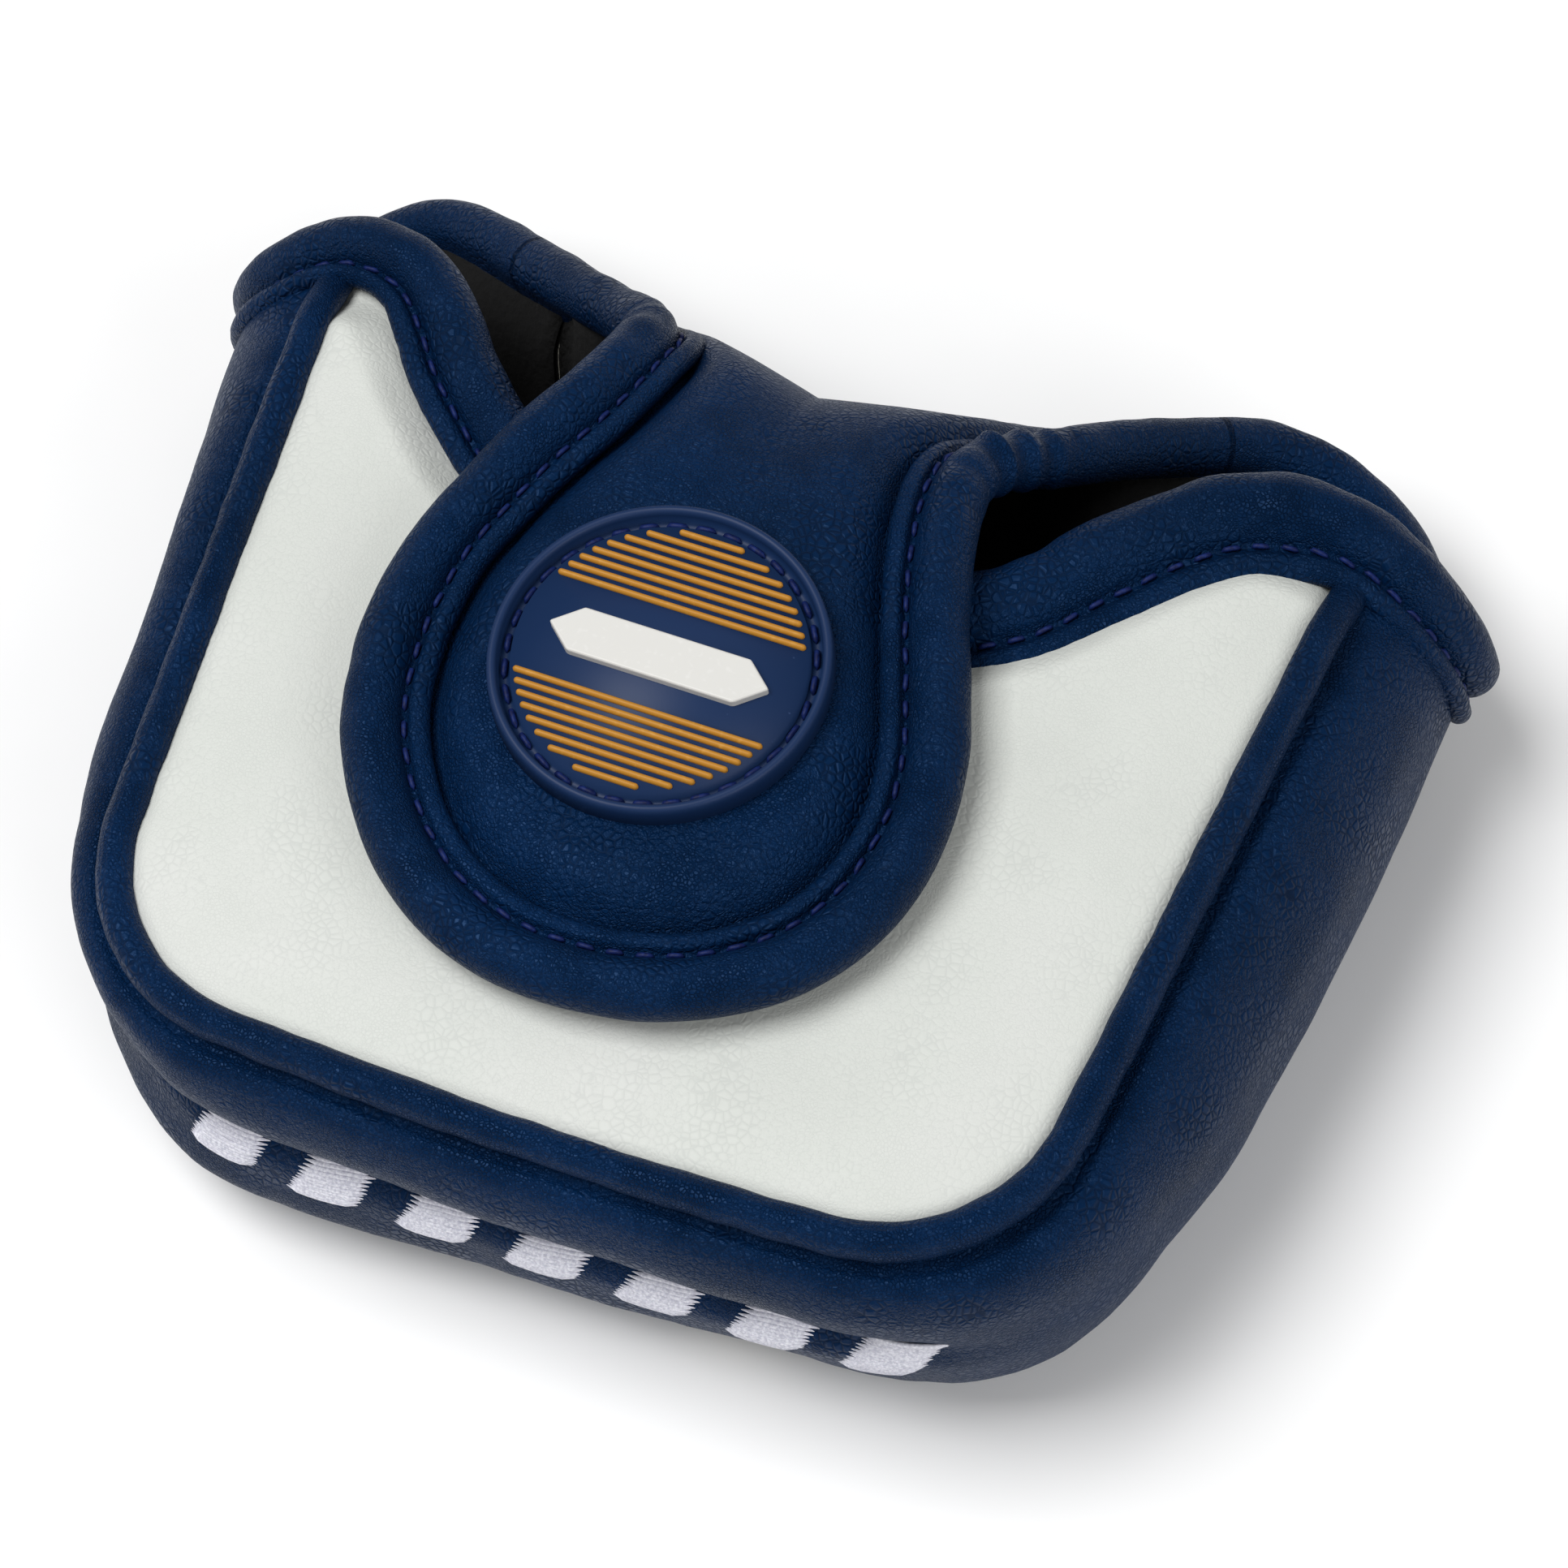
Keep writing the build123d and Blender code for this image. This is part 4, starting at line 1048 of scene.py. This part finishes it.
class COVER_OT_badge(bpy.types.Operator):
    """Build the moulded badge: disc, ribs, bar and the thread in its groove"""
    bl_idname = "cover.badge"
    bl_label = "Badge"

    def execute(self, context):
        place(badge_base_object(), "badge_rubber_navy", ["badge_base"], "flap")
        place(badge_stripes_object(), "badge_rubber_ochre", ["badge_stripes"], "flap")
        place(badge_bar_object(), "badge_rubber_white", ["badge_bar"], "flap")
        rng = np.random.default_rng(SEED + 1)
        angle = np.linspace(0, 2 * math.pi, BADGE_STITCHES, endpoint=False)
        ring = np.stack([BADGE_X + GROOVE_RADIUS * np.cos(angle), BADGE_Y + GROOVE_RADIUS * np.sin(angle),
                         np.full(len(angle), BADGE_FOOT + 1.35)], axis=1)
        along = np.stack([-np.sin(angle), np.cos(angle), 0 * angle], axis=1)
        ups = np.tile(UP, (len(angle), 1))
        thread = stitches_object("badge_stitches", np.hstack([ring, along, ups]), 2.4, 0.36, rng)
        place(thread, "navy_thread", ["badge_stitching"], "flap")
        return {"FINISHED"}


# ---- embroidery ----
MARK_COUNT = 7
MARK_PITCH = 13.1
MARK_MIDDLE = 5.0
MARK_WIDTH = 8.8
MARK_LOW = 17.8
MARK_HIGH = 26.6
MARK_SLANT = 4.0
STRAND_PITCH = 0.42
STRAND_RADIUS = 0.30


class COVER_OT_embroidery(bpy.types.Operator):
    """Embroider seven slanted satin-stitch bars on the front gusset"""
    bl_idname = "cover.embroidery"
    bl_label = "Embroidery"

    def execute(self, context):
        rng = np.random.default_rng(SEED + 2)
        gusset = gusset_table()
        half = len(gusset) // 2
        front = np.concatenate([gusset, outward(gusset, INSIDE)], axis=2)[half - 60:half + 61]
        bm = bmesh.new()
        rows = int((MARK_HIGH - MARK_LOW) / STRAND_PITCH)
        for i in range(MARK_COUNT):
            middle = MARK_MIDDLE + (i - (MARK_COUNT - 1) / 2) * MARK_PITCH
            for j in range(rows):
                z = MARK_LOW + STRAND_PITCH * (j + 0.5)
                shift = MARK_SLANT * ((z - MARK_LOW) / (MARK_HIGH - MARK_LOW) - 0.5)
                ragged = rng.uniform(-0.22, 0.22, 2)
                t = np.linspace(-1, 1, 7)
                x = middle + shift + t * MARK_WIDTH / 2 + np.where(t < 0, ragged[0], ragged[1]) * np.abs(t)
                heights = z + t * 0.35
                spots = np.array([surface_at(front, *spot) for spot in zip(x, heights)])
                points, normal = spots[:, :3], unit(spots[:, 3:])
                arch = (0.42 * (1 - np.abs(t) ** 3) - 0.05)[:, None]
                line = points + normal * arch
                _, across, up = side_frames(line, normal)
                scale = round_ends(line, STRAND_RADIUS)
                closed_tube(ring_table(line, across, up, circle(5) * STRAND_RADIUS, scale), bm)
        place(new_object("front_satin_bars", bm), "white_thread", ["front_embroidery"])
        return {"FINISHED"}


def surface_at(rows, x, z):
    """The gusset's point and normal at this x and height."""
    column = np.array([[np.interp(x, rows[:, j, 0], rows[:, j, k]) for k in range(6)]
                       for j in range(rows.shape[1] - 1, -1, -1)])
    return np.array([np.interp(z, column[:, 2], column[:, k]) for k in range(6)])


class COVER_OT_hardware(bpy.types.Operator):
    """Finish the two magnets that the frame carries"""
    bl_idname = "cover.hardware"
    bl_label = "Magnets"

    def execute(self, context):
        for name in ("top_panel_magnet", "flap_magnet"):
            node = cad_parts[name]
            node.data.materials.clear()
            node.data.materials.append(materials()["nickel_steel"])
        return {"FINISHED"}


# ---- stage ----
CAMERA_TURN = 30.7        # degrees round the object
CAMERA_HEIGHT = 63.0      # degrees above the floor
CAMERA_ROLL = -10.0
CAMERA_AWAY = 550.0
CAMERA_AIM = (13.6, -4.4, 45.0)
# Soft boxes: place and width in metres, and power in watts.
LIGHTS = (("key", (-0.30, -0.10, 0.85), 0.5, 6.9), ("fill", (0.75, -0.35, 0.55), 0.6, 3.4),
          ("rim", (0.25, 0.75, 0.75), 0.6, 0.4))
LIGHT_AIM = (0.0, 0.0, 0.03)
SKY_STRENGTH = 0.27


class COVER_OT_stage(bpy.types.Operator):
    """Lay the pale floor and set the camera and the soft lights"""
    bl_idname = "cover.stage"
    bl_label = "Stage"

    def execute(self, context):
        bm = bmesh.new()
        bmesh.ops.create_grid(bm, x_segments=8, y_segments=8, size=3000.0)
        floor = new_object("floor", bm)
        floor.data.materials.append(materials()["studio_paper"])
        self.add_camera(context)
        self.add_lights(context)
        return {"FINISHED"}

    def add_camera(self, context):
        data = bpy.data.cameras.new("camera")
        data.lens = sizes().lens
        data.sensor_width = 36.0
        camera = bpy.data.objects.new("camera", data)
        context.scene.collection.objects.link(camera)
        matrix = Matrix.Translation(Vector(CAMERA_AIM) * MM + PATTERN_SHIFT)
        for angle, axis in ((CAMERA_TURN, "Z"), (90.0 - CAMERA_HEIGHT, "X"), (CAMERA_ROLL, "Z")):
            matrix = matrix @ Matrix.Rotation(math.radians(angle), 4, axis)
        camera.matrix_world = matrix @ Matrix.Translation((0.0, 0.0, CAMERA_AWAY * MM))
        context.scene.camera = camera

    def add_lights(self, context):
        world = bpy.data.worlds.new("studio")
        world.use_nodes = True
        sky = world.node_tree.nodes["Background"]
        sky.inputs["Color"].default_value = (1.0, 1.0, 1.0, 1.0)
        sky.inputs["Strength"].default_value = SKY_STRENGTH
        context.scene.world = world
        context.scene.view_settings.view_transform = "Standard"
        for name, where, width, power in LIGHTS:
            data = bpy.data.lights.new(name, "AREA")
            data.size, data.energy = width, power
            lamp = bpy.data.objects.new(name, data)
            context.scene.collection.objects.link(lamp)
            lamp.location = where
            aim = Vector(LIGHT_AIM) - Vector(where)
            lamp.rotation_euler = aim.to_track_quat("-Z", "Y").to_euler()


class COVER_PT_panel(bpy.types.Panel):
    bl_label = "Head Cover"
    bl_idname = "COVER_PT_panel"
    bl_space_type = "VIEW_3D"
    bl_region_type = "UI"
    bl_category = "Head Cover"

    def draw(self, context):
        for operator in OPERATORS:
            self.layout.operator(operator.bl_idname)
        for group in (context.scene.cover_sizes, context.scene.cover_colours):
            for key in group.bl_rna.properties.keys():
                if key not in ("rna_type", "name"):
                    self.layout.prop(group, key)


OPERATORS = (COVER_OT_top_panel, COVER_OT_gusset, COVER_OT_bottom_panel, COVER_OT_piping,
             COVER_OT_bindings, COVER_OT_flap, COVER_OT_badge, COVER_OT_embroidery,
             COVER_OT_hardware, COVER_OT_stage)
GROUPS = (CoverColours, CoverSizes)


def register():
    for cls in GROUPS + OPERATORS + (COVER_PT_panel,):
        bpy.utils.register_class(cls)
    bpy.types.Scene.cover_colours = PointerProperty(type=CoverColours)
    bpy.types.Scene.cover_sizes = PointerProperty(type=CoverSizes)


def unregister():
    del bpy.types.Scene.cover_colours
    del bpy.types.Scene.cover_sizes
    for cls in reversed(GROUPS + OPERATORS + (COVER_PT_panel,)):
        bpy.utils.unregister_class(cls)


def main():
    register()
    for operator in OPERATORS:
        namespace, name = operator.bl_idname.split(".")
        getattr(getattr(bpy.ops, namespace), name)()
    bpy.context.view_layer.update()


if __name__ == "__main__":
    main()
